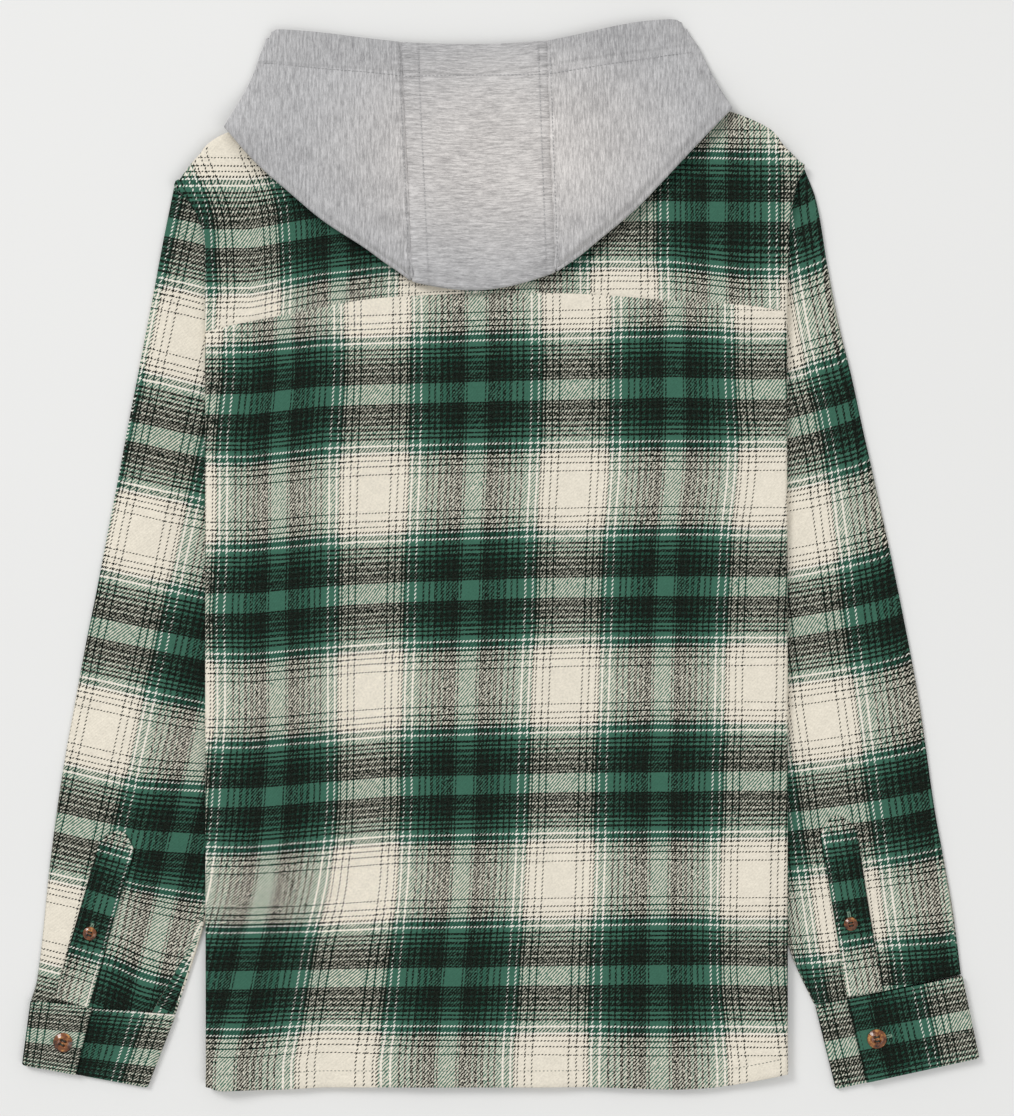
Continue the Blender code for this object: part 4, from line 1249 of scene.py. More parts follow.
def over_strips(x, y):
    """1 over the turned-under strips, falling to 0 inside them."""
    width = turned_width(y)
    return beside(x, fold_x(y, "left") + width, fold_x(y, "right") - width, STRIP_RAMP)


def over_band(x):
    """1 over the front band and its buttons, falling to 0 beside it."""
    away = np.abs(x - BODY_CENTRE_X) - BAND_WIDTH / 2 - BAND_MARGIN
    return 1.0 - smooth(away / BAND_RAMP)


def front_height(x, y):
    """The middle of the front's cloth."""
    band_stack = BUTTON_THICKNESS + SEAM_GAP + LAYER
    lift = SLEEVE_STACK * over_sleeves(x, y) + STRIP_STACK * over_strips(x, y)
    return FLANNEL / 2 + lift + band_stack * over_band(x)


def hood_shade(x, y):
    """1 where the hood lies on the shirt, falling to 0 in the open."""
    edge = curve_through(*zip(*HOOD_EDGE), x)
    return smooth((y - edge) / SHADE_REACH + 1.0)


def back_height(x, y):
    """The middle of the back's cloth: the frame's height, a low swell, its creases and its hem.

    The creases and the swell fade out at the side folds and under the hood. The turned hem stands a
    little above the cloth beside it, with a groove at its row of stitches.
    """
    hollow = 1.0 - np.maximum(over_strips(x, y), over_band(x))
    base = front_height(x, y) + LAYER + (VALLEY_FILL - HOOD_PRESS * hood_shade(x, y)) * hollow
    edge = np.minimum(x - fold_x(y, "left"), fold_x(y, "right") - x)
    free = smooth(edge / FOLD_FADE) * (1.0 - HOOD_FLATTENS * hood_shade(x, y))
    relief = swell(x, y, "back") + crease_height(x, y, BACK_CREASES) * sewing().crease
    above_row = y - hem_y(x) - HEM_STITCH
    hem = HEM_RISE * (1.0 - smooth(above_row / HEM_STEP)) - HEM_GROOVE * hump(above_row / HEM_GROOVE_WIDTH)
    return base + free * relief + hem


# Body


def hem_y(x):
    """The hem, straight with its corners curved up."""
    return read_table(HEM, "hem", x)


def row_y(level, x, neck_drop):
    """The y of a row of the body at x: level 0 is the hem, 1 the yoke seam and 2 the shoulder."""
    seam = read_table(ACROSS, "yoke_seam", x)
    from_centre = np.clip(np.abs(x - BODY_CENTRE_X) / NECK_HALF_WIDTH, 0.0, 1.0)
    neck = neck_drop * np.sqrt(np.clip(1.0 - from_centre**NECK_SQUARENESS, 0.0, 1.0))
    top = read_table(ACROSS, "shoulder", x) - neck
    below = hem_y(x) + (seam - hem_y(x)) * level
    return np.where(level <= 1.0, below, seam + (top - seam) * (level - 1.0))


def side_turn(level, edge_x, neck_drop, z_main, strip_rise, outward, cell):
    """A strip from its seam edge out to the side fold, and the half circle up to the cloth above."""
    edge_y = row_y(level, edge_x, neck_drop)
    steps = int(TURNED_UNDER / cell)
    inward = np.linspace(1.0, 0.0, steps + 1) * turned_width(edge_y)
    x = edge_x - outward * inward
    y = row_y(level, x, neck_drop)
    z = FLANNEL / 2 + SLEEVE_STACK * over_sleeves(x, y) + strip_rise
    radius = (z_main - z[:, -1:]) / 2
    bend_x = edge_x + outward * radius * np.sin(TURN)
    bend_z = z[:, -1:] + radius * (1.0 - np.cos(TURN))
    return np.concatenate([stack(x, y, z), stack(bend_x, edge_y, bend_z)], axis=1)


def body_grid(levels, neck_drop, height, strip_rise, cell, sides=("left", "right")):
    """One body piece: each row runs from a strip, round its fold, and over; its y is row_y at each x.

    The main part's x is a share of the way from fold to fold at the y of the row's ends.
    """
    level = levels[:, None]
    low, high = (0.0 if "left" in sides else 0.5), (1.0 if "right" in sides else 0.5)
    shares = np.linspace(low, high, int(BODY_WIDTH * (high - low) / cell) + 1)
    left = right = np.zeros_like(level)
    for _ in range(FOLD_ROUNDS):
        left = (left + fold_x(row_y(level, left, neck_drop), "left")) / 2
        right = (right + fold_x(row_y(level, right, neck_drop), "right")) / 2
    x = np.where(
        shares <= 0.5,
        left + (BODY_CENTRE_X - left) * 2.0 * shares,
        BODY_CENTRE_X + (right - BODY_CENTRE_X) * (2.0 * shares - 1.0),
    )
    if sides == ("left",):
        x[:, -1] -= SEAM_GAP
    elif sides == ("right",):
        x[:, 0] += SEAM_GAP
    y = row_y(level, x, neck_drop)
    z = height(x, y)
    pieces = [stack(x, y, z)]
    if "left" in sides:
        pieces.insert(0, side_turn(level, left, neck_drop, z[:, :1], strip_rise, -1.0, cell))
    if "right" in sides:
        turn = side_turn(level, right, neck_drop, z[:, -1:], strip_rise, 1.0, cell)
        pieces.append(turn[:, ::-1])
    return np.concatenate(pieces, axis=1)


def round_shoulders(grid, sides=("left", "right")):
    """Draws a body piece's shoulder corners in, along a quarter circle that fades towards the middle."""
    x, y = grid[..., 0], grid[..., 1]
    for side in sides:
        outward = OUTWARD[side]
        edge = (outward * x).max(axis=1, keepdims=True)
        top = y[-1, np.argmax(outward * x[-1])]
        corner_y = np.take_along_axis(y, np.argmax(outward * x, axis=1)[:, None], axis=1)
        turn = np.clip(1.0 - (top - corner_y) / SHOULDER_ROUND, 0.0, 1.0)
        draw = SHOULDER_ROUND * (1.0 - np.sqrt(1.0 - turn**2))
        grid[..., 0] -= outward * draw * (1.0 - smooth((edge - outward * x) / SHOULDER_EASE))


def bend_at(table, x, y):
    """How far the cloth's lines stray at a point: a curve down each column, blended between columns."""
    columns = [read_table(table, name, y) for name in Bend._fields[1:]]
    total = columns[0]
    for near, far, before, after in zip(BEND_X, BEND_X[1:], columns, columns[1:]):
        total = total + (after - before) * np.clip((x - near) / (far - near), 0.0, 1.0)
    return total


def body_map(grid, phase, lean=WARP_LEAN, bow=WEFT_BOW):
    """Where a body piece lies on the cloth: the length along each row, and y with the weft's own bow.

    The warp leans to the left towards the hem, and the weft drops towards the left side, as tabled.
    """
    steps = np.hypot(np.diff(grid[..., 0]), np.diff(grid[..., 2]))
    length = np.concatenate([np.zeros((len(grid), 1)), np.cumsum(steps, axis=1)], axis=1)
    middle = np.argmin(np.abs(grid[..., 0] - BODY_CENTRE_X), axis=1)[:, None]
    across = length - np.take_along_axis(length, middle, axis=1)
    across += np.take_along_axis(grid[..., 0], middle, axis=1)
    x, y = grid[..., 0], grid[..., 1]
    u = across - bend_at(lean, x, y) - phase.warp_at
    return stack(u, y - bend_at(bow, x, y) - phase.weft_at)


def band_ends():
    """The y of the front band's top and bottom."""
    top = float(read_table(ACROSS, "shoulder", BODY_CENTRE_X)) - FRONT_NECK_DROP - BAND_INSET
    return top, float(hem_y(BODY_CENTRE_X)) + BAND_INSET


def band_grid():
    """The button band: a flat strip under the centre front, above its buttons."""
    top, bottom = band_ends()
    y = np.linspace(bottom, top, BAND_ROWS)
    x = BODY_CENTRE_X + np.linspace(-0.5, 0.5, BAND_COLUMNS) * BAND_WIDTH
    z = BUTTON_THICKNESS + SEAM_GAP + FLANNEL / 2
    return stack(*np.meshgrid(x, y), z)


def build_body(material):
    """The back, the yoke, the two fronts and the front band."""
    back_levels = np.linspace(0.0, 1.0, int(BACK_LENGTH / CELL) + 1)
    yoke_levels = np.linspace(1.0, 2.0, int(YOKE_LENGTH / CELL) + 1)
    back = body_grid(back_levels, BACK_NECK_DROP, back_height, 0.0, CELL)
    yoke = body_grid(yoke_levels, BACK_NECK_DROP, back_height, 0.0, CELL)
    back[-1, :, 1] -= SEAM_GAP / 2
    yoke[0, :, 1] += SEAM_GAP / 2
    round_shoulders(yoke)
    pieces = {
        "back": (back, body_map(back, BACK_PHASE)),
        "yoke": (yoke, body_map(yoke, YOKE_PHASE, YOKE_LEAN, YOKE_BOW)),
    }
    below, above = np.linspace(0.0, 1.0, FRONT_ROWS), np.linspace(1.0, 2.0, SHOULDER_ROWS)
    front_levels = np.concatenate([below, above[1:]])
    for side in ("left", "right"):
        grid = body_grid(front_levels, FRONT_NECK_DROP, front_height, LAYER, HIDDEN_CELL, (side,))
        round_shoulders(grid, (side,))
        pieces[f"front_{side}"] = (grid, body_map(grid, BACK_PHASE))
    band = band_grid()
    pieces["front_band"] = (band, band[..., :2])
    for node, (grid, cloth) in pieces.items():
        lay_piece(node, grid, FLANNEL, cloth, material)


# Sleeves, plackets and cuffs


def sleeve_height(x, y, shape):
    """The middle of a sleeve's upper layer: flat under the body, a low crown with creases where it shows.

    The crown is a sine across the sleeve, raised to a power below 1 so that it rounds at the edges.
    """
    outward = OUTWARD[shape.side]
    outer = edge_x(shape.outer, y)
    fold = fold_x(y, shape.side)
    inner = outward * np.maximum(outward * inner_limit(y, shape.side), outward * fold)
    across = np.clip((x - inner) / (outer - inner), 0.0, 1.0)
    clear = smooth((outward * (x - fold) - PUFF_STARTS) / PUFF_RISE)
    crown = SLEEVE_PUFF * np.sin(np.pi * across) ** CROWN_POWER
    soft = np.sin(np.pi * across) ** RELIEF_POWER
    relief = swell(x, y, "sleeve") + crease_height(x, y, SLEEVE_CREASES[shape.side]) * sewing().crease
    return FLANNEL / 2 + LAYER + clear * (crown + soft * relief)


def armhole_line(shape, share):
    """The sleeve's armhole end in plan, from the shoulder to the underarm."""
    shoulder = shape.outer[0]
    y = shoulder.y + (UNDERARM_Y - shoulder.y) * share
    x = inner_limit(y, shape.side)
    reach = shoulder.x - x[0]
    return stack(x + reach * (1.0 - smooth(share / CAP_SHARE)), y)


def sleeve_plan(shape, steps, across):
    """Straight rows from the outer edge to the inner one, bowed to the armhole's line near the top."""
    outer, inner = along(shape.outer, steps)[:, None], along(shape.inner, steps)[:, None]
    start = armhole_line(shape, across)
    shares = seam_columns(UNDERARM_SEAMS.get(shape.side), outer, inner, across)
    straight = outer + (inner - outer) * shares[..., None]
    bowed = start - (start[0] + (start[-1] - start[0]) * across[:, None])
    return straight + bowed * (1.0 - smooth(steps / BOW_FADES))[:, None, None]


def sleeve_grid(shape):
    """Rings down the sleeve and their map: over the top from the inner edge, round, and back underneath.

    Each edge is a half circle between the layers. On the map, u grows from the outer fold across the
    upper layer and falls below 0 across the lower one, so that the check turns the fold unbroken.
    """
    outward = OUTWARD[shape.side]
    steps = np.linspace(0.0, 1.0, int(SLEEVE_LENGTH / CELL) + 1)
    across = 0.5 - 0.5 * np.cos(np.linspace(0.0, np.pi, int(SLEEVE_WIDTH / CELL) + 1))
    plan = sleeve_plan(shape, steps, across)
    span = plan[:, -1] - plan[:, 0]
    inward = unit(span)[:, None]
    plan = plan + EDGE_INSET * (1.0 - 2.0 * across)[:, None] * inward
    top = sleeve_height(plan[..., 0], plan[..., 1], shape)
    under = np.full_like(top, FLANNEL / 2)
    over = raised(plan, top)
    below = raised(plan, under)

    def turned_edge(column, direction, angles):
        """The half circle between the layers along one edge."""
        radius = (top[:, column] - under[:, column])[:, None] / 2
        beyond = direction * (np.minimum(radius, EDGE_INSET) * np.sin(angles))[..., None] * inward
        middle = under[:, column][:, None] + radius
        return np.concatenate(
            [plan[:, column][:, None] + beyond, (middle + radius * np.cos(angles))[..., None]], axis=-1
        )

    outer_edge = turned_edge(0, -1.0, TURN)
    inner_edge = turned_edge(-1, 1.0, TURN[::-1])
    ring = np.concatenate([over[:, ::-1], outer_edge, below, inner_edge], axis=1)
    lines = SLEEVE_MAPS[shape.side]
    u_over, v_over = sleeve_place(over[:, ::-1], lines, outward)
    seam = UNDERARM_SEAMS.get(shape.side)
    if seam:
        u_over, v_over = past_seam(over[:, ::-1], u_over, v_over, seam, lines)
    v_over = v_over - slit_rise(over[:, ::-1], shape)
    (u_edge, v_edge), (u_below, v_below), (u_inner, v_inner) = (
        sleeve_place(part, lines, outward) for part in (outer_edge, below, inner_edge)
    )
    half = u_edge * np.cos(TURN)
    u = np.concatenate([u_over, half, -u_below, -u_inner, -u_inner[:, -1:] + 1.0], axis=1)
    v = np.concatenate([v_over, v_edge, v_below, v_inner, v_inner[:, -1:]], axis=1)
    cloth = stack(-outward * (u - lines.warp_at), v - lines.weft_at)
    if outward > 0:
        return ring[:, ::-1], cloth[:, ::-1]
    return ring, cloth


def sleeve_place(points, lines, outward):
    """Distance in from the sleeve's outer grain line, and height along it, a little stretched."""
    angle = np.radians(lines.tilt) * outward
    x, y = points[..., 0] - lines.x, points[..., 1]
    bend = lines.curve * (np.minimum(y, 0.0) / CURVE_LENGTH) ** 2
    u = -outward * (x * np.cos(angle) + y * np.sin(angle)) + bend
    v = (y * np.cos(angle) - x * np.sin(angle)) * lines.stretch
    level, warp_in, weft_up = zip(*lines.sways)
    return u - curve_through(level, warp_in, y), v - curve_through(level, weft_up, y)


def seam_columns(seam, outer, inner, across):
    """The share across of each point: the same in all rows, but drawn aside towards the cuff.

    There one column runs along each side of the underarm seam, where the check jumps.
    """
    shares = np.broadcast_to(across, (len(outer), len(across)))
    if seam is None:
        return shares
    start, run = np.array([seam.x, seam.y]), np.array([seam.end_x - seam.x, seam.end_y - seam.y])
    span, reach = inner - outer, start - outer
    meets = (reach @ [run[1], -run[0]]) / (span @ [run[1], -run[0]])
    last = len(across) - SEAM_COLUMNS
    near = smooth((seam.y + SEAM_LEAD - outer[..., 1]) / SEAM_EASE)
    target = across[last] + (np.clip(meets, 0.0, SEAM_LIMIT) - across[last]) * near
    beside = target + SEAM_STEP
    inside = shares * target / across[last]
    outside = beside + (1.0 - beside) * (shares - across[last + 1]) / (1.0 - across[last + 1])
    return np.where(np.arange(len(across)) <= last, inside, outside)


def past_seam(points, u, v, seam, lines):
    """The map past the underarm seam: u is the distance from the seam and v the way along it."""
    run_x, run_y = seam.end_x - seam.x, seam.end_y - seam.y
    length = np.hypot(run_x, run_y)
    x, y = points[..., 0] - seam.x, points[..., 1] - seam.y
    down = (x * run_x + y * run_y) / length
    past = (y * run_x - x * run_y) / length
    beyond = (np.arange(points.shape[1]) < SEAM_COLUMNS - 1) & (down > 0.0)
    turned_u = lines.warp_at + seam.warp_at + past
    return np.where(beyond, turned_u, u), np.where(beyond, lines.weft_at + seam.weft_at - down, v)


def slit_rise(points, shape):
    """How far the weft stands higher at the right of the placket's slit, and where it fans out."""
    tip, down, side, _ = placket_frame(shape)
    slit = SLIT_RISES[shape.side]
    reach = points[..., :2] - tip
    travelled, offset = reach @ down, reach @ side
    eased = SLIT_EASE.share * smooth((offset - SLIT_EASE.start) / SLIT_EASE.reach)
    beside = smooth(offset / SLIT_WIDTH + 0.5) * (1.0 - eased)
    rise = slit.rise * smooth((travelled - slit.start) / slit.reach) * beside
    fan = SLEEVE_FANS.get(shape.side)
    if fan:
        away = np.clip((points[..., 0] - fan.x) / FAN_WIDTH, 0.0, FAN_LIMIT)
        rise = rise + fan.rise * away * smooth((fan.y - points[..., 1]) / FAN_REACH)
    return rise


def placket_frame(shape):
    """The placket's tip, the direction down it, the direction across it, and its length."""
    tip = np.array([shape.placket_tip.x, shape.placket_tip.y])
    foot = np.array([shape.placket_foot.x, shape.placket_foot.y])
    length = np.linalg.norm(foot - tip)
    down = (foot - tip) / length
    return tip, down, np.array([-down[1], down[0]]), length


def on_placket(shape, travelled, offset, lift):
    """Points on the placket's face, a distance down from its tip and an offset to its side."""
    tip, down, side, _ = placket_frame(shape)
    plan = tip + down * np.asarray(travelled)[..., None] + side * np.asarray(offset)[..., None]
    z = sleeve_height(plan[..., 0], plan[..., 1], shape) + PLACKET_LIFT + lift
    return raised(plan, z)


def placket_grid(shape):
    """A strip with a pointed tip on the sleeve, and its own place on the cloth."""
    length = placket_frame(shape)[3]
    near_tip = np.linspace(*PLACKET_TIP_ROWS) * PLACKET_TIP
    below = np.arange(PLACKET_TIP + PLACKET_CELL, length - 2 * PLACKET_FOOT_GAP, PLACKET_CELL)
    travelled = np.concatenate([near_tip, below, [length - PLACKET_FOOT_GAP]])[:, None]
    shares = np.linspace(-1.0, 1.0, PLACKET_COLUMNS)
    half = PLACKET_WIDTH / 2 * np.minimum(travelled / PLACKET_TIP, 1.0) ** TIP_ROUNDNESS
    offset = half * shares
    from_edge = PLACKET_WIDTH / 2 - np.abs(offset)
    groove = hump((from_edge - PLACKET_STITCH) / PLACKET_GROOVE.width)
    crown = PLACKET_CROWN.height * smooth(from_edge / PLACKET_CROWN.width) - PLACKET_GROOVE.height * groove
    grid = on_placket(shape, np.broadcast_to(travelled, offset.shape), offset, crown)
    turn = OUTWARD[shape.side]
    along_cloth = PLACKET_WEFT - np.broadcast_to(travelled, offset.shape)
    return grid, stack(offset + PLACKET_WARP * turn, along_cloth)


def cuff_frame(shape, step):
    """The start of the cuff's middle path at a share down the cuff, its direction, and its reach."""
    outer, inner = along(shape.cuff_outer, step), along(shape.cuff_inner, step)
    width = np.linalg.norm(inner - outer, axis=-1, keepdims=True)
    direction = (inner - outer) / width
    start = outer + direction * (CUFF_LAYER + CUFF_CLOTH / 2)
    return start, direction, width - CUFF_LAYER - CUFF_CLOTH - CUFF_LAYER / 2


def cuff_relief(share, step, amount):
    """A soft swell between the cuff's edges, with a groove at its stitch lines and shallow dents."""
    edge = np.minimum(step, 1.0 - step) * CUFF_DEPTH
    groove = CUFF_GROOVE.height * hump((edge - CUFF_STITCH) / CUFF_GROOVE.width)
    dents = swell(share * CUFF_DENTS[0], step * CUFF_DENTS[1], "cuff")
    return amount * (smooth(edge / CUFF_ROUND) - groove + dents)


def cuff_grid(shape):
    """A strip wrapped flat: the hidden end, over the top, round under, and up on top of itself.

    On the map the layer beneath has a little more cloth than it spans, which is eased into it.
    """
    under, level = CUFF_CLOTH / 2, CUFF_CLOTH / 2 + CUFF_LAYER
    lap = level + CUFF_LAYER
    hidden = np.linspace(shape.overlap_end - UNDERLAP, 1.0, CUFF_HIDDEN_COLUMNS)
    below = np.linspace(1.0, 0.0, CUFF_HIDDEN_COLUMNS)
    shown = np.linspace(0.0, shape.overlap_end, CUFF_SHOWN_COLUMNS)
    small, large = CUFF_LAYER / 2, CUFF_LAYER
    parts = (
        (hidden, level, 0.0, HIDDEN_RELIEF),
        (1.0, under + small + small * np.cos(TURN), small * np.sin(TURN), 0.0),
        (below, under, 0.0, 0.0),
        (0.0, under + large - large * np.cos(TURN), -large * np.sin(TURN), 0.0),
        (shown, lap, 0.0, SHOWN_RELIEF),
    )
    share, height, beyond, relief = np.concatenate([stack(*part) for part in parts]).T
    step = np.linspace(0.0, 1.0, CUFF_ROWS)[:, None]
    start, direction, reach = (part[:, None] for part in cuff_frame(shape, step[:, 0]))
    plan = start + direction * (reach * share[:, None] + beyond[:, None])
    z = height + cuff_relief(share, step, relief)
    steps = np.hypot(np.linalg.norm(np.diff(plan, axis=1), axis=-1), np.diff(height))
    grid = raised(plan, z)
    at = CUFF_MAPS[shape.side]
    under_layer = np.clip((np.arange(len(share)) - len(hidden) - len(TURN)) / len(below), 0.0, 1.0)
    length = np.concatenate([[0.0], np.cumsum(steps.mean(axis=0))]) + at.slack * under_layer
    from_end = np.broadcast_to(length[-1] - length, z.shape)
    v = at.weft_at_seam - step * CUFF_DEPTH + at.skew * from_end
    turn = -OUTWARD[shape.side]
    return grid, stack((at.warp_from_end - from_end) * turn, v)


def build_sleeves(material):
    """Both sleeves with their plackets and cuffs."""
    kinds = (
        ("sleeve", sleeve_grid, FLANNEL),
        ("sleeve_placket", placket_grid, FLANNEL),
        ("cuff", cuff_grid, CUFF_CLOTH),
    )
    for shape in SLEEVES:
        for kind, make_grid, thickness in kinds:
            grid, cloth = make_grid(shape)
            joined = kind == "sleeve"
            lay_piece(f"{kind}_{shape.side}", grid, thickness, cloth, material, joined)


# Hood


def hood_height(x, y):
    """The middle of the hood's under layer: over the shirt, and down to the floor past the shoulders."""
    past = (y - read_table(ACROSS, "shoulder", x)) / HOOD_FALL
    return JERSEY / 2 + HOOD_BASE * (1.0 - smooth(past))


def hood_relief(x, y):
    """The upper layer's own swell and creases, in millimetres, always at or above the frame's height."""
    return swell(x, y, "hood") + crease_height(x, y, HOOD_CREASES) * sewing().crease


def hood_rounding(from_fold):
    """The share of the swell that is left near a fold, where the upper layer rounds over into it."""
    return FOLD_ROUNDING.share + (1.0 - FOLD_ROUNDING.share) * smooth(from_fold / FOLD_ROUNDING.reach)


def seam_dip(from_seam):
    """The dips of the upper layer into a gusset seam and along the row of stitches beside it."""
    row = ROW_GROOVE.height * hump((from_seam - TWIN_STITCH) / ROW_GROOVE.width)
    return -SEAM_DIP.height * hump(from_seam / SEAM_DIP.width) - row


def casing_groove(down):
    """The groove of the face opening's casing, at a distance down from the opening's edge."""
    groove = CASING_GROOVE.height * hump((down - CASING) / CASING_GROOVE.width)
    return CASING_PUFF * hump((down - CASING / 2) / (CASING / 2)) - groove


def hood_fold(shape, share):
    """The side panel's outer edge at shares from the face opening to the gusset's foot."""
    table = np.array(shape.fold, float)
    tip = HOOD_TIP_ROW + 1
    parts = [curve_through(table[:tip, 0], table[:tip, axis], share) for axis in (1, 2)]
    lower = [curve_through(table[tip - 1 :, 0], table[tip - 1 :, axis], share) for axis in (1, 2)]
    return np.stack([np.where(share < table[tip - 1, 0], a, b) for a, b in zip(parts, lower)], axis=-1)


def gusset_seam(shape, share):
    """The straight seam between a side panel and the gusset."""
    top, foot = np.array(shape.gusset_top, float), np.array(shape.gusset_foot, float)
    return top + (foot - top) * np.asarray(share)[..., None]


def under_end(shape, share):
    """Where a side panel's under layer ends: the throat, then the neck seam, then the gusset seam."""
    throat = (shape.throat_x, shape.fold[0].y - THROAT_DROP)
    seam_top = (shape.gusset_foot.x, HOOD_NECK_Y)
    foot = (shape.gusset_foot.x, shape.gusset_foot.y + UNDER_FOOT_RISE)
    line = np.array([throat, shape.neck_corner, seam_top, foot], float)
    stops = (0.0, NECK_CORNER_SHARE, NECK_SEAM_SHARE, 1.0)
    return np.stack([np.interp(share, stops, line[:, axis]) for axis in (0, 1)], axis=-1)


def hood_top(side, share, spread, from_fold):
    """How far a side panel's top edge swells up, and drops round its corner, fading down the panel."""
    rise = HOOD_TOP_SWELL[side] * np.sin(np.pi * spread**SWELL_LEAN)
    turn = np.clip(1.0 - from_fold / HOOD_CORNER, 0.0, 1.0)
    drop = HOOD_CORNER * (1.0 - np.sqrt(1.0 - turn**2)) * (1.0 - smooth(share / CORNER_FADES))
    return rise * (1.0 - smooth(share / TOP_SWELL_FADES)) - drop


def hood_side_grid(shape):
    """One side panel: from the gusset seam across the top, round the fold, and back underneath.

    Each row is a straight line between the seam and the fold at one share. Near the seam the upper
    layer dips into it, and near the fold it rounds over into the half circle, which turns to point
    down at the foot, so that it meets the gusset's.
    """
    share = np.unique(np.concatenate([np.linspace(0.0, 1.0, HOOD_ROWS), [row.share for row in shape.fold]]))
    spread = np.linspace(0.0, 1.0, PANEL_COLUMNS)[:, None]
    fold, seam, end = hood_fold(shape, share), gusset_seam(shape, share), under_end(shape, share)
    out = fold - seam
    width = np.linalg.norm(out, axis=1, keepdims=True)
    upper = seam[:, None] + out[:, None] * spread
    out = out / width
    lower = fold[:, None] + (end - fold)[:, None] * spread[::2]
    from_seam, from_fold = width * spread[:, 0], width * (1.0 - spread[:, 0])
    opening = share[:, None] * np.linalg.norm(fold[0] - fold[2]) / shape.fold[2].share
    upper[..., 1] += hood_top(shape.side, share[:, None], spread[:, 0], from_fold)
    relief = hood_rounding(from_fold) * hood_relief(upper[..., 0], upper[..., 1])
    relief = relief + seam_dip(from_seam) + casing_groove(opening)
    upper_z = hood_height(upper[..., 0], upper[..., 1]) + HOOD_LAYER + relief
    lower_z = hood_height(lower[..., 0], lower[..., 1])
    radius = ((upper_z[:, -1] - lower_z[:, 0]) / 2)[:, None]
    edge = upper[:, -1]
    lower[:, 0] = edge
    at_foot = smooth((share[:, None] - FOOT_STARTS) / (1.0 - FOOT_STARTS))
    way = unit(out * (1.0 - at_foot) + np.array([0.0, -1.0]) * at_foot)
    bend = edge[:, None] + way[:, None] * (np.minimum(radius, FOLD_REACH) * np.sin(TURN))[..., None]
    bend_z = lower_z[:, :1] + radius + radius * np.cos(TURN)
    plan = np.concatenate([upper, bend, lower], axis=1)
    grid = raised(plan, np.concatenate([upper_z, bend_z, lower_z], axis=1))
    cloth = hood_map(plan, fold, out, radius)
    return (grid, cloth) if shape.side == "left" else (grid[:, ::-1], cloth[:, ::-1])


def hood_map(plan, fold, out, radius):
    """Where the panel lies on the jersey: its own plan on top, mirrored outwards past the fold beneath."""
    beyond = ((plan - fold[:, None]) * out[:, None]).sum(axis=-1)
    under = np.arange(plan.shape[1]) >= PANEL_COLUMNS + len(TURN) // 2
    shift = np.where(under, -2.0 * beyond + np.pi * radius, 0.0)
    return plan + out[:, None] * shift[..., None]


def hood_centre_grid():
    """The gusset: down over the top from the face opening, round the fold, and up to the neck."""
    left, right = HOOD_SIDES
    spread = np.linspace(0.0, 1.0, GUSSET_COLUMNS)
    dip = np.sin(np.pi * spread)
    gap = 2 * SEAM_GAP
    ends = []
    for share, sag in ((0.0, GUSSET_TOP_DIP), (1.0, FOOT_DIP)):
        start, run = gusset_seam(left, share), gusset_seam(right, share) - gusset_seam(left, share)
        ends.append(start + run * spread[:, None] + stack(gap * (1.0 - 2.0 * spread), -sag * dip))
    top, foot = ends
    down = np.linspace(0.0, 1.0, GUSSET_DOWN)[:, None]
    upper = top + (foot - top) * down[..., None]
    x, y = upper[..., 0], upper[..., 1]
    edge = np.minimum(spread, 1.0 - spread) * (right.gusset_top.x - left.gusset_top.x)
    from_foot = (1.0 - down) * np.linalg.norm(top[0] - foot[0])
    opening = down * np.linalg.norm(top[0] - foot[0])
    relief = hood_rounding(from_foot) * hood_relief(x, y) + seam_dip(edge) + casing_groove(opening)
    z = hood_height(x, y) + HOOD_LAYER + relief
    low = hood_height(x[-1], y[-1])
    radius = (z[-1] - low) / 2
    angles = TURN[:, None]
    bend_y = y[-1] - np.minimum(radius, FOLD_REACH) * np.sin(angles)
    bend_z = low + radius + radius * np.cos(angles)
    back_y = y[-1] + (HOOD_NECK_Y - y[-1]) * np.linspace(0.0, 1.0, GUSSET_UNDER)[:, None]
    back = stack(x[-1], back_y, hood_height(x[-1], back_y))
    grid = np.concatenate([stack(x, y, z), stack(x[-1], bend_y, bend_z), back])
    steps = np.hypot(np.diff(grid[..., 1], axis=0), np.diff(grid[..., 2], axis=0))
    length = np.concatenate([np.zeros((1, grid.shape[1])), np.cumsum(steps, axis=0)])
    return grid, stack(grid[..., 0], -length)


def build_hood(side_material, centre_material):
    """The gusset and the two side panels."""
    grid, cloth = hood_centre_grid()
    lay_piece("hood_centre", grid, JERSEY, cloth, centre_material)
    for shape in HOOD_SIDES:
        grid, cloth = hood_side_grid(shape)
        lay_piece(f"hood_{shape.side}", grid, JERSEY, cloth, side_material)


# Buttons and stitches


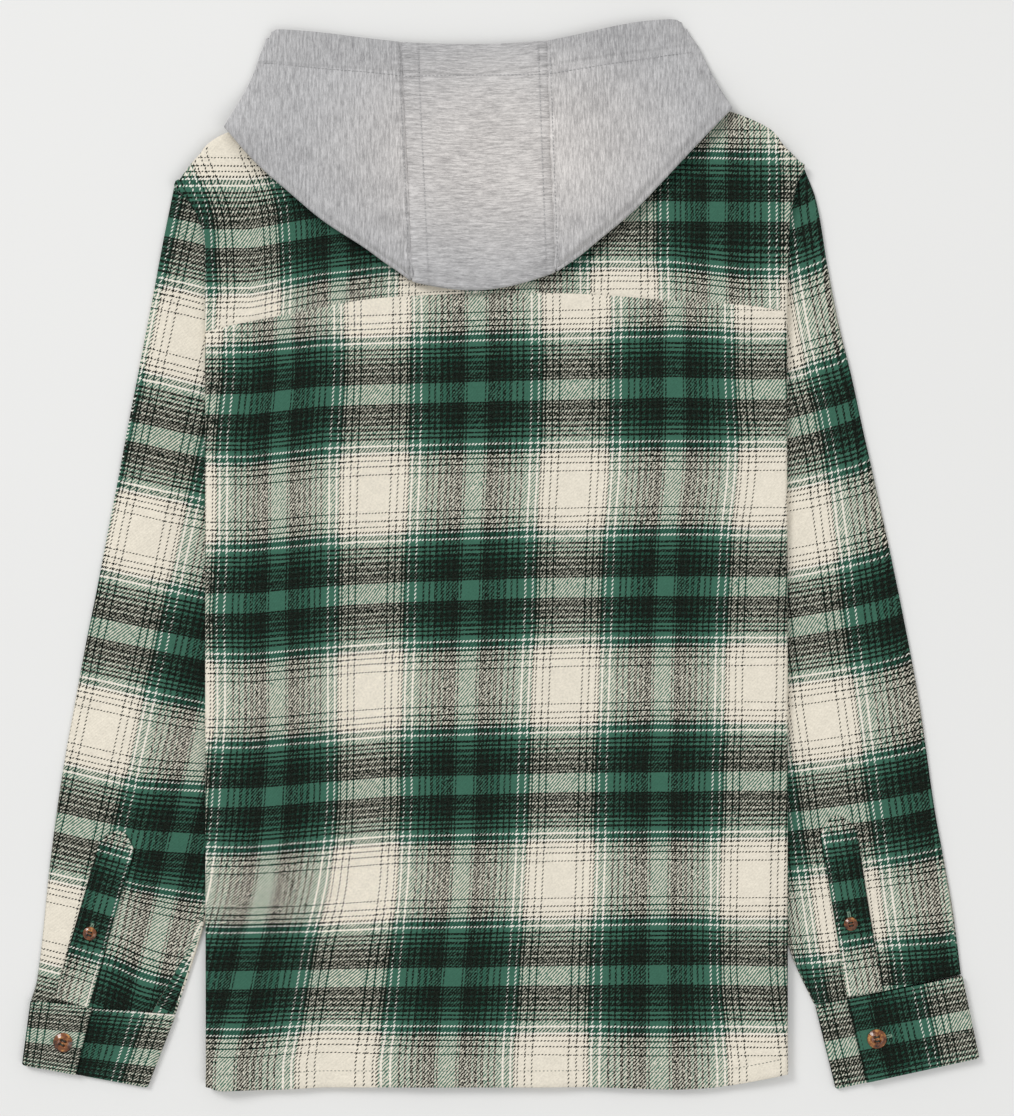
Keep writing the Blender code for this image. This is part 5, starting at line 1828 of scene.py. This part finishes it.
def button_height(x, y, radius):
    """The top of a button with its centre at 0: a rim, a dished middle, and four holes sunk in it.

    The rim is a raised ring that slopes down outside to a round edge, and into the dish inside. A hole
    is a steep pit. Places across the button are shares of its radius, and heights of its thickness.
    """
    out = np.hypot(x, y) / radius
    fall = RIM_FALL * radius / BUTTON_THICKNESS
    slope = 1.0 - fall * np.clip((out - RIM_STARTS) / RIM_SPAN, 0.0, 1.0)
    turn = np.clip((out - EDGE_STARTS) / (1.0 - EDGE_STARTS), 0.0, 1.0)
    shoulder = slope * np.sqrt(np.clip(1.0 - turn**2, 0.0, 1.0))
    dish = 1.0 - DISH_DEPTH * (1.0 - smooth((out - DISH_STARTS) / DISH_SPAN))
    height = BUTTON_THICKNESS * (EDGE_HEIGHT + (1.0 - EDGE_HEIGHT) * shoulder * dish)
    place = 2 * radius * HOLE_PLACE_SHARE
    nearest = np.hypot(np.abs(x) - place, np.abs(y) - place)
    pit = 1.0 - smooth((nearest / (2 * radius * HOLE_RADIUS_SHARE) - PIT_STARTS) / PIT_SPAN)
    return height - pit * (height - PIT_FLOOR)


def button_points(radius, rings, sides):
    """A button's closed skin as rings of points: its top from the middle out, and its underside back in."""
    out = radius * np.linspace(BUTTON_CORE, 1.0, rings)[:, None]
    angle = np.linspace(0.0, 2 * np.pi, sides, endpoint=False)
    x, y = out * np.cos(angle), out * np.sin(angle)
    top = stack(x, y, button_height(x, y, radius))
    share, level = (column[:, None] for column in np.array(BUTTON_UNDERSIDE).T)
    x, y = radius * share * np.cos(angle), radius * share * np.sin(angle)
    return np.concatenate([top, stack(x, y, BUTTON_THICKNESS * level)])


def turned(points, degrees):
    """Points turned about the vertical."""
    cosine, sine = np.cos(np.radians(degrees)), np.sin(np.radians(degrees))
    return points @ np.array([[cosine, -sine, 0.0], [sine, cosine, 0.0], [0.0, 0.0, 1.0]]).T


def build_button(name, node, diameter, place, material, turn=0.0, face_down=False):
    """A dished four-hole button on its cloth, turned so that its holes line up with its buttonhole."""
    rings, sides = HIDDEN_BUTTON_GRID if face_down else BUTTON_GRID
    skin = button_points(diameter / 2, rings, sides)
    count = len(skin)
    points = turned(skin.reshape(-1, 3), turn)
    if face_down:
        points = points * [1.0, -1.0, -1.0] + [0.0, 0.0, BUTTON_THICKNESS]
    quads = grid_quads(count, sides)
    caps = [np.arange(sides), (count - 1) * sides + np.arange(sides)[::-1]]
    faces = np.concatenate([quads.ravel(), *caps])
    sizes = np.concatenate([np.full(len(quads), 4), [sides, sides]])
    button = put_mesh(name, points + np.array(place), faces, sizes, {}, material)
    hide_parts(node)


def thread_bars(name, diameter, place, turn, material):
    """Two short bars of thread from hole to hole, each a tube that arches over the middle of a button."""
    span = diameter * HOLE_PLACE_SHARE
    share = np.linspace(-1.0, 1.0, BAR_POINTS)
    height = BUTTON_THICKNESS * BAR_LEVEL - BAR_DROP * np.abs(share) ** BAR_POWER + BAR_LIFT
    lines = [
        stack(share * span * BAR_REACH, side * span + strand, height)
        for side in (-1.0, 1.0)
        for strand in (-BAR_STRAND, BAR_STRAND)
    ]
    return tubes(name, turned(np.array(lines), turn) + np.array(place), BAR_RADIUS, material)


def tubes(name, lines, radius, material):
    """Round closed tubes of one radius along lines of equal point count: rings square to each line.

    The end rings shrink to a point, so that each tube closes.
    """
    lines = np.asarray(lines, float)
    count, length = lines.shape[:2]
    tangent = unit(np.gradient(lines, axis=1))
    side = unit(np.cross(tangent, [0.0, 0.0, 1.0]))
    lift = np.cross(side, tangent)
    angle = np.linspace(0.0, 2 * np.pi, TUBE_SIDES, endpoint=False)[:, None]
    taper = np.ones(length)
    taper[[0, -1]] = TUBE_END
    ring = (side[:, :, None] * np.cos(angle) + lift[:, :, None] * np.sin(angle)) * radius
    points = lines[:, :, None] + ring * taper[:, None, None]
    quads = grid_quads(length, TUBE_SIDES)
    offsets = (np.arange(count) * length * TUBE_SIDES)[:, None]
    first = np.arange(TUBE_SIDES)
    last = (length - 1) * TUBE_SIDES + np.arange(TUBE_SIDES)[::-1]
    quad_part = (quads.ravel()[None] + offsets).ravel()
    cap_part = (np.concatenate([first, last])[None] + offsets).ravel()
    sizes = np.concatenate([np.full(len(quads) * count, 4), np.full(2 * count, TUBE_SIDES)])
    return put_mesh(name, points.reshape(-1, 3), np.concatenate([quad_part, cap_part]), sizes, {}, material)


def stitch_lines(line, length):
    """A line on cloth cut into stitches: each covers a share of its pitch, and dips at its ends."""
    line = np.asarray(line, float)
    steps = np.linalg.norm(np.diff(line, axis=0), axis=1)
    travelled = np.concatenate([[0.0], np.cumsum(steps)])
    count = max(int(travelled[-1] / length), 1)
    share = np.linspace(0.0, STITCH_SHARE, STITCH_POINTS)
    at = (np.arange(count)[:, None] + share) * travelled[-1] / count
    points = np.stack([np.interp(at, travelled, line[:, axis]) for axis in range(3)], axis=-1)
    arch = 1.0 - (2.0 * share / STITCH_SHARE - 1.0) ** 2
    points[..., 2] += (arch - STITCH_LEVEL) * STITCH_SINK
    return points


def sew(name, lines, material):
    """Rows of stitches along lines on a piece of cloth, as one mesh."""
    length, radius = sewing().stitch / MM, sewing().thread / MM / 2
    stitches = np.concatenate([stitch_lines(line, length) for line in lines])
    return tubes(name, stitches, radius, material)


# Rows of stitches, buttonholes and buttons in their places


def top_of(grid, thickness, x, y):
    """The height of a piece's face at each point: the highest of its grid points within a cell."""
    x, y = np.asarray(x, float).ravel(), np.asarray(y, float).ravel()
    flat = grid.reshape(-1, 3)
    away = np.hypot(flat[:, 0] - x[:, None], flat[:, 1] - y[:, None])
    near = away < np.maximum(away.min(axis=1, keepdims=True) + NEAR_GAP, CELL * NEAR_SHARE)
    return np.where(near, flat[:, 2], -1.0).max(axis=1) + thickness / 2


def on_top(grid, thickness, line):
    """A line of points in plan laid on a piece's face, its heights averaged along it."""
    line = np.asarray(line, float)
    z = top_of(grid, thickness, line[:, 0], line[:, 1])
    z = np.convolve(np.pad(z, LEVELLED // 2, mode="edge"), np.full(LEVELLED, 1.0 / LEVELLED), mode="valid")
    return raised(line, z)


def plan_line(start, end, count):
    """Evenly spaced points in plan from start to end."""
    return np.linspace(np.asarray(start, float)[:2], np.asarray(end, float)[:2], count)


def hem_rows():
    """The hem's row of stitches, from fold to fold across the back."""
    x = np.linspace(*HEM_ROW)
    y = hem_y(x) + HEM_STITCH
    return [stack(x, y, back_height(x, y) + FLANNEL / 2)]


def placket_rows(shape, grid):
    """A row of stitches round the placket's long edges and pointed tip, and one across under the tip."""
    tip, down, side, length = placket_frame(shape)
    half = PLACKET_WIDTH / 2 - PLACKET_STITCH
    foot, shoulder = length - PLACKET_ROW_FOOT, PLACKET_TIP + PLACKET_ROW_SHOULDER
    corners = ((foot, -half), (shoulder, -half), (PLACKET_ROW_TIP, 0.0), (shoulder, half), (foot, half))
    turns = [tip + down * along_it + side * offset for along_it, offset in corners]
    outline = [plan_line(a, b, EDGE_POINTS) for a, b in zip(turns, turns[1:])]
    start = tip + down * PLACKET_BOX - side * half
    across = plan_line(start, start + side * 2 * half, TIP_POINTS)
    return [on_top(grid, FLANNEL, line) for line in (*outline, across)]


def cuff_rows(shape, grid):
    """Rows of stitches on the shown part of a cuff: along its seam, its lower edge and its lapped end."""
    lines, ends = [], []
    share = np.linspace(*CUFF_ROW)[:, None]
    for step in (CUFF_STITCH / CUFF_DEPTH, 1.0 - CUFF_STITCH / CUFF_DEPTH):
        start, direction, reach = cuff_frame(shape, np.array([step]))
        lines.append(start + direction * reach * share)
        ends.append((start + direction * (reach * shape.overlap_end - CUFF_STITCH / 2))[0])
    return [on_top(grid, CUFF_CLOTH, line) for line in (*lines, plan_line(*ends, EDGE_POINTS))]


def side_of_hood_rows(shape, grid):
    """The casing's row and the row beside the gusset seam on one side panel of the hood."""
    outward = np.array([OUTWARD[shape.side], 0.0])
    top, foot = np.array(shape.gusset_top), np.array(shape.gusset_foot)
    corner, lower = np.array(shape.fold[0][1:]), np.array(shape.fold[2][1:])
    seam = unit(foot - top)
    start = top + seam * CASING + outward * CASING_ENDS.top
    end = corner + unit(lower - corner) * CASING - outward * CASING_ENDS.foot
    beside = outward * SIDE_ROW
    top, foot = top + beside + seam * SIDE_ENDS.top, foot + beside - seam * SIDE_ENDS.foot
    lines = [plan_line(start, end, SEAM_POINTS), plan_line(top, foot, SEAM_POINTS)]
    return [on_top(grid, JERSEY, line) for line in lines]


def centre_of_hood_rows(grid):
    """The casing's row and the rows beside both seams on the gusset."""
    lines, starts = [], []
    for shape in HOOD_SIDES:
        inward = np.array([-OUTWARD[shape.side], 0.0])
        top, foot = np.array(shape.gusset_top), np.array(shape.gusset_foot)
        seam = unit(foot - top)
        beside = inward * GUSSET_ROWS[shape.side]
        start, end = top + seam * GUSSET_ENDS.top, foot - seam * GUSSET_ENDS.foot
        lines.append(plan_line(start + beside, end + beside, SEAM_POINTS))
        starts.append(top + seam * CASING_ON_GUSSET + inward * CASING_INSET)
    return [on_top(grid, JERSEY, line) for line in (*lines, plan_line(*starts, CASING_POINTS))]


def buttonhole(name, grid, thickness, place, direction, length, material):
    """A buttonhole: a slit between two rows of close bars, with a wider bar at each end."""
    along_it = unit(np.asarray(direction, float))
    across = np.array([-along_it[1], along_it[0]])
    arch = HOLE_LIFT - HOLE_ARCH * np.linspace(-1.0, 1.0, HOLE_POINTS) ** 4
    bars = np.arange(-length / 2, length / 2 + HOLE_SPARE, HOLE_PITCH)
    lines = []
    for number, travelled in enumerate(bars):
        end = number in (0, 1, len(bars) - 2, len(bars) - 1)
        for low, high in HOLE_END if end else HOLE_SIDES:
            share = np.linspace(low, high, HOLE_POINTS)[:, None]
            line = on_top(grid, thickness, np.asarray(place) + along_it * travelled + across * share)
            line[:, 2] += arch
            lines.append(line)
    return tubes(name, lines, HOLE_THREAD, material)


def build_buttons(button, thread, hole_thread):
    """The placket, cuff and front buttons, with the thread and the buttonholes of those that show.

    A placket's hole runs along it and a cuff's along the cuff. Each button sits towards one end of its
    hole, so that the other end shows beside it.
    """
    for shape in SLEEVES:
        down = placket_frame(shape)[1]
        _, cuff_way, _ = cuff_frame(shape, np.array([0.5]))
        placket, cuff = placket_grid(shape)[0], cuff_grid(shape)[0]
        seats = (
            ("placket", placket, FLANNEL, shape.placket_button, -down, PLACKET_BUTTON_DIAMETER),
            ("cuff", cuff, CUFF_CLOTH, shape.cuff_button, -cuff_way[0], CUFF_BUTTON_DIAMETER),
        )
        for kind, grid, thickness, spot, way, diameter in seats:
            look = BUTTON_LOOKS[kind, shape.side]
            z = float(top_of(grid, thickness, spot.x, spot.y)[0])
            title = f"{kind}_button_{shape.side}"
            place = (spot.x, spot.y, z + BUTTON_GAP)
            build_button(f"shirt_{title}", title, diameter, place, button, look.turn)
            thread_bars(f"{title}_thread", diameter, place, look.turn, thread)
            buttonhole(
                f"{kind}_buttonhole_{shape.side}", grid, thickness, np.array(spot) + way * look.shift, way,
                diameter + BUTTON_THICKNESS, hole_thread,
            )
    top, bottom = band_ends()
    places = np.linspace(top - BAND_TOP_BUTTON, bottom + BAND_LAST_BUTTON, FRONT_BUTTONS)
    for number, y in enumerate(places, start=1):
        title = f"front_button_{number}"
        build_button(
            f"shirt_{title}", title, FRONT_BUTTON_DIAMETER, (BODY_CENTRE_X, y, 0.0), button, face_down=True
        )


def build_stitches(dark, pale):
    """Every row of stitches that shows, gathered with the buttons and buttonholes under the cloth piece that
    each goes with.
    """
    pieces = bpy.data.objects
    with_piece = {"shirt_back": [sew("hem_stitches", hem_rows(), dark)]}
    for shape in SLEEVES:
        side = shape.side
        kinds = (
            ("placket", "shirt_sleeve_placket", placket_rows(shape, placket_grid(shape)[0])),
            ("cuff", "shirt_cuff", cuff_rows(shape, cuff_grid(shape)[0])),
        )
        for kind, piece, rows in kinds:
            with_piece[f"{piece}_{side}"] = [
                sew(f"{kind}_stitches_{side}", rows, dark),
                pieces[f"{kind}_buttonhole_{side}"],
                pieces[f"shirt_{kind}_button_{side}"],
                pieces[f"{kind}_button_{side}_thread"],
            ]
    for shape in HOOD_SIDES:
        name = f"shirt_hood_{shape.side}"
        rows = side_of_hood_rows(shape, hood_side_grid(shape)[0])
        with_piece[name] = [sew(f"hood_stitches_{shape.side}", rows, pale)]
    rows = centre_of_hood_rows(hood_centre_grid()[0])
    with_piece["shirt_hood_centre"] = [sew("hood_stitches_centre", rows, pale)]
    with_piece["shirt_front_band"] = [pieces[f"shirt_front_button_{n + 1}"] for n in range(FRONT_BUTTONS)]


# Stage


def build_floor(material):
    """A wide sheet of floor under the shirt, with a faint rise at its far corners, outside the view."""
    side = np.linspace(-FLOOR_REACH, FLOOR_REACH, FLOOR_STEPS)
    x, y = np.meshgrid(side, side)
    z = FLOOR_RISE * (np.hypot(x, y) / FLOOR_REACH) ** 4 - FLOOR_GAP
    quads = grid_quads(FLOOR_STEPS, FLOOR_STEPS, closed=False)[:, ::-1]
    points = stack(x, y, z).reshape(-1, 3)
    floor = put_mesh("floor", points, quads.ravel(), np.full(len(quads), 4), {}, material)


def add_light(name, place, size, power):
    """A square soft light that faces the shirt."""
    lamp = bpy.data.lights.new(name, "AREA")
    lamp.shape = "SQUARE"
    lamp.size = size
    lamp.energy = power
    light = bpy.data.objects.new(name, lamp)
    light.location = place
    light.rotation_euler = Vector(place).to_track_quat("Z", "Y").to_euler()
    bpy.context.scene.collection.objects.link(light)


def build_stage():
    """The floor, a soft window from the upper left, an even sky, and the camera straight above."""
    scene = bpy.context.scene
    scene.view_settings.view_transform = "Standard"
    build_floor(floor_material())
    for name, place, size, power in LIGHTS:
        add_light(name, place, size, power)
    world = bpy.data.worlds.new("sky")
    world.use_nodes = True
    sky = world.node_tree.nodes["Background"].inputs
    sky["Color"].default_value = (1.0, 1.0, 1.0, 1.0)
    sky["Strength"].default_value = SKY
    scene.world = world
    lens = bpy.data.cameras.new("view")
    lens.lens = FOCAL_LENGTH
    lens.sensor_width = lens.sensor_height = SENSOR
    lens.sensor_fit = "VERTICAL"
    lens.clip_end = FAR_CLIP
    camera = bpy.data.objects.new("view", lens)
    camera.location = (CAMERA_X, CAMERA_Y, CAMERA_HEIGHT)
    scene.collection.objects.link(camera)
    scene.camera = camera


# Operators


def material_named(name, make):
    """A material that is made once and shared."""
    return bpy.data.materials.get(name) or make()


def thread_named(kind):
    """One of the threads' materials."""
    return material_named(f"{kind}_thread", lambda: thread_material(f"{kind}_thread", *THREADS[kind]))


def flannel():
    """The flannel's material."""
    return material_named("brushed_flannel", lambda: flannel_material(bpy.context.scene.shirt_cloth))


class SHIRT_OT_body(bpy.types.Operator):
    """Builds the back, the yoke and the fronts."""

    bl_idname = "shirt.body"
    bl_label = "Body"

    def execute(self, context):
        build_body(flannel())
        return {"FINISHED"}


class SHIRT_OT_sleeves(bpy.types.Operator):
    """Builds the sleeves, their plackets and cuffs."""

    bl_idname = "shirt.sleeves"
    bl_label = "Sleeves"

    def execute(self, context):
        build_sleeves(flannel())
        return {"FINISHED"}


class SHIRT_OT_hood(bpy.types.Operator):
    """Builds the hood's three panels."""

    bl_idname = "shirt.hood"
    bl_label = "Hood"

    def execute(self, context):
        cloth = context.scene.shirt_cloth
        sides = material_named("jersey_sides", lambda: jersey_material("jersey_sides", cloth, angle=0.0))
        centre = material_named(
            "jersey_centre", lambda: jersey_material("jersey_centre", cloth, angle=90.0)
        )
        build_hood(sides, centre)
        return {"FINISHED"}


class SHIRT_OT_buttons(bpy.types.Operator):
    """Builds the buttons, their thread and their buttonholes."""

    bl_idname = "shirt.buttons"
    bl_label = "Buttons"

    def execute(self, context):
        horn = material_named("button_horn", button_material)
        build_buttons(horn, thread_named("button"), thread_named("hole"))
        return {"FINISHED"}


class SHIRT_OT_stitches(bpy.types.Operator):
    """Builds the rows of stitches on the hem, the plackets, the cuffs and the hood."""

    bl_idname = "shirt.stitches"
    bl_label = "Stitches"

    def execute(self, context):
        build_stitches(thread_named("flannel"), thread_named("jersey"))
        return {"FINISHED"}


class SHIRT_OT_stage(bpy.types.Operator):
    """Builds the floor, the lights and the camera."""

    bl_idname = "shirt.stage"
    bl_label = "Stage"

    def execute(self, context):
        build_stage()
        return {"FINISHED"}


class SHIRT_PT_steps(bpy.types.Panel):
    """Lists the settings and the steps."""

    bl_idname = "SHIRT_PT_steps"
    bl_label = "Shirt"
    bl_space_type = "VIEW_3D"
    bl_region_type = "UI"
    bl_category = "Shirt"

    def draw(self, context):
        for group in (context.scene.shirt_cloth, context.scene.shirt_sewing):
            for name in group.bl_rna.properties.keys():
                if name not in ("rna_type", "name"):
                    self.layout.prop(group, name)
        for step in STEPS:
            self.layout.operator(step.bl_idname)


STEPS = (
    SHIRT_OT_body, SHIRT_OT_sleeves, SHIRT_OT_hood, SHIRT_OT_buttons, SHIRT_OT_stitches, SHIRT_OT_stage,
)
CLASSES = (ClothSettings, SewingSettings, *STEPS, SHIRT_PT_steps)


def register():
    for each in CLASSES:
        bpy.utils.register_class(each)
    bpy.types.Scene.shirt_cloth = bpy.props.PointerProperty(type=ClothSettings)
    bpy.types.Scene.shirt_sewing = bpy.props.PointerProperty(type=SewingSettings)


def unregister():
    del bpy.types.Scene.shirt_sewing
    del bpy.types.Scene.shirt_cloth
    for each in reversed(CLASSES):
        bpy.utils.unregister_class(each)


def main():
    register()
    bpy.ops.shirt.body()
    bpy.ops.shirt.sleeves()
    bpy.ops.shirt.hood()
    bpy.ops.shirt.buttons()
    bpy.ops.shirt.stitches()
    bpy.ops.shirt.stage()


if __name__ == "__main__":
    main()
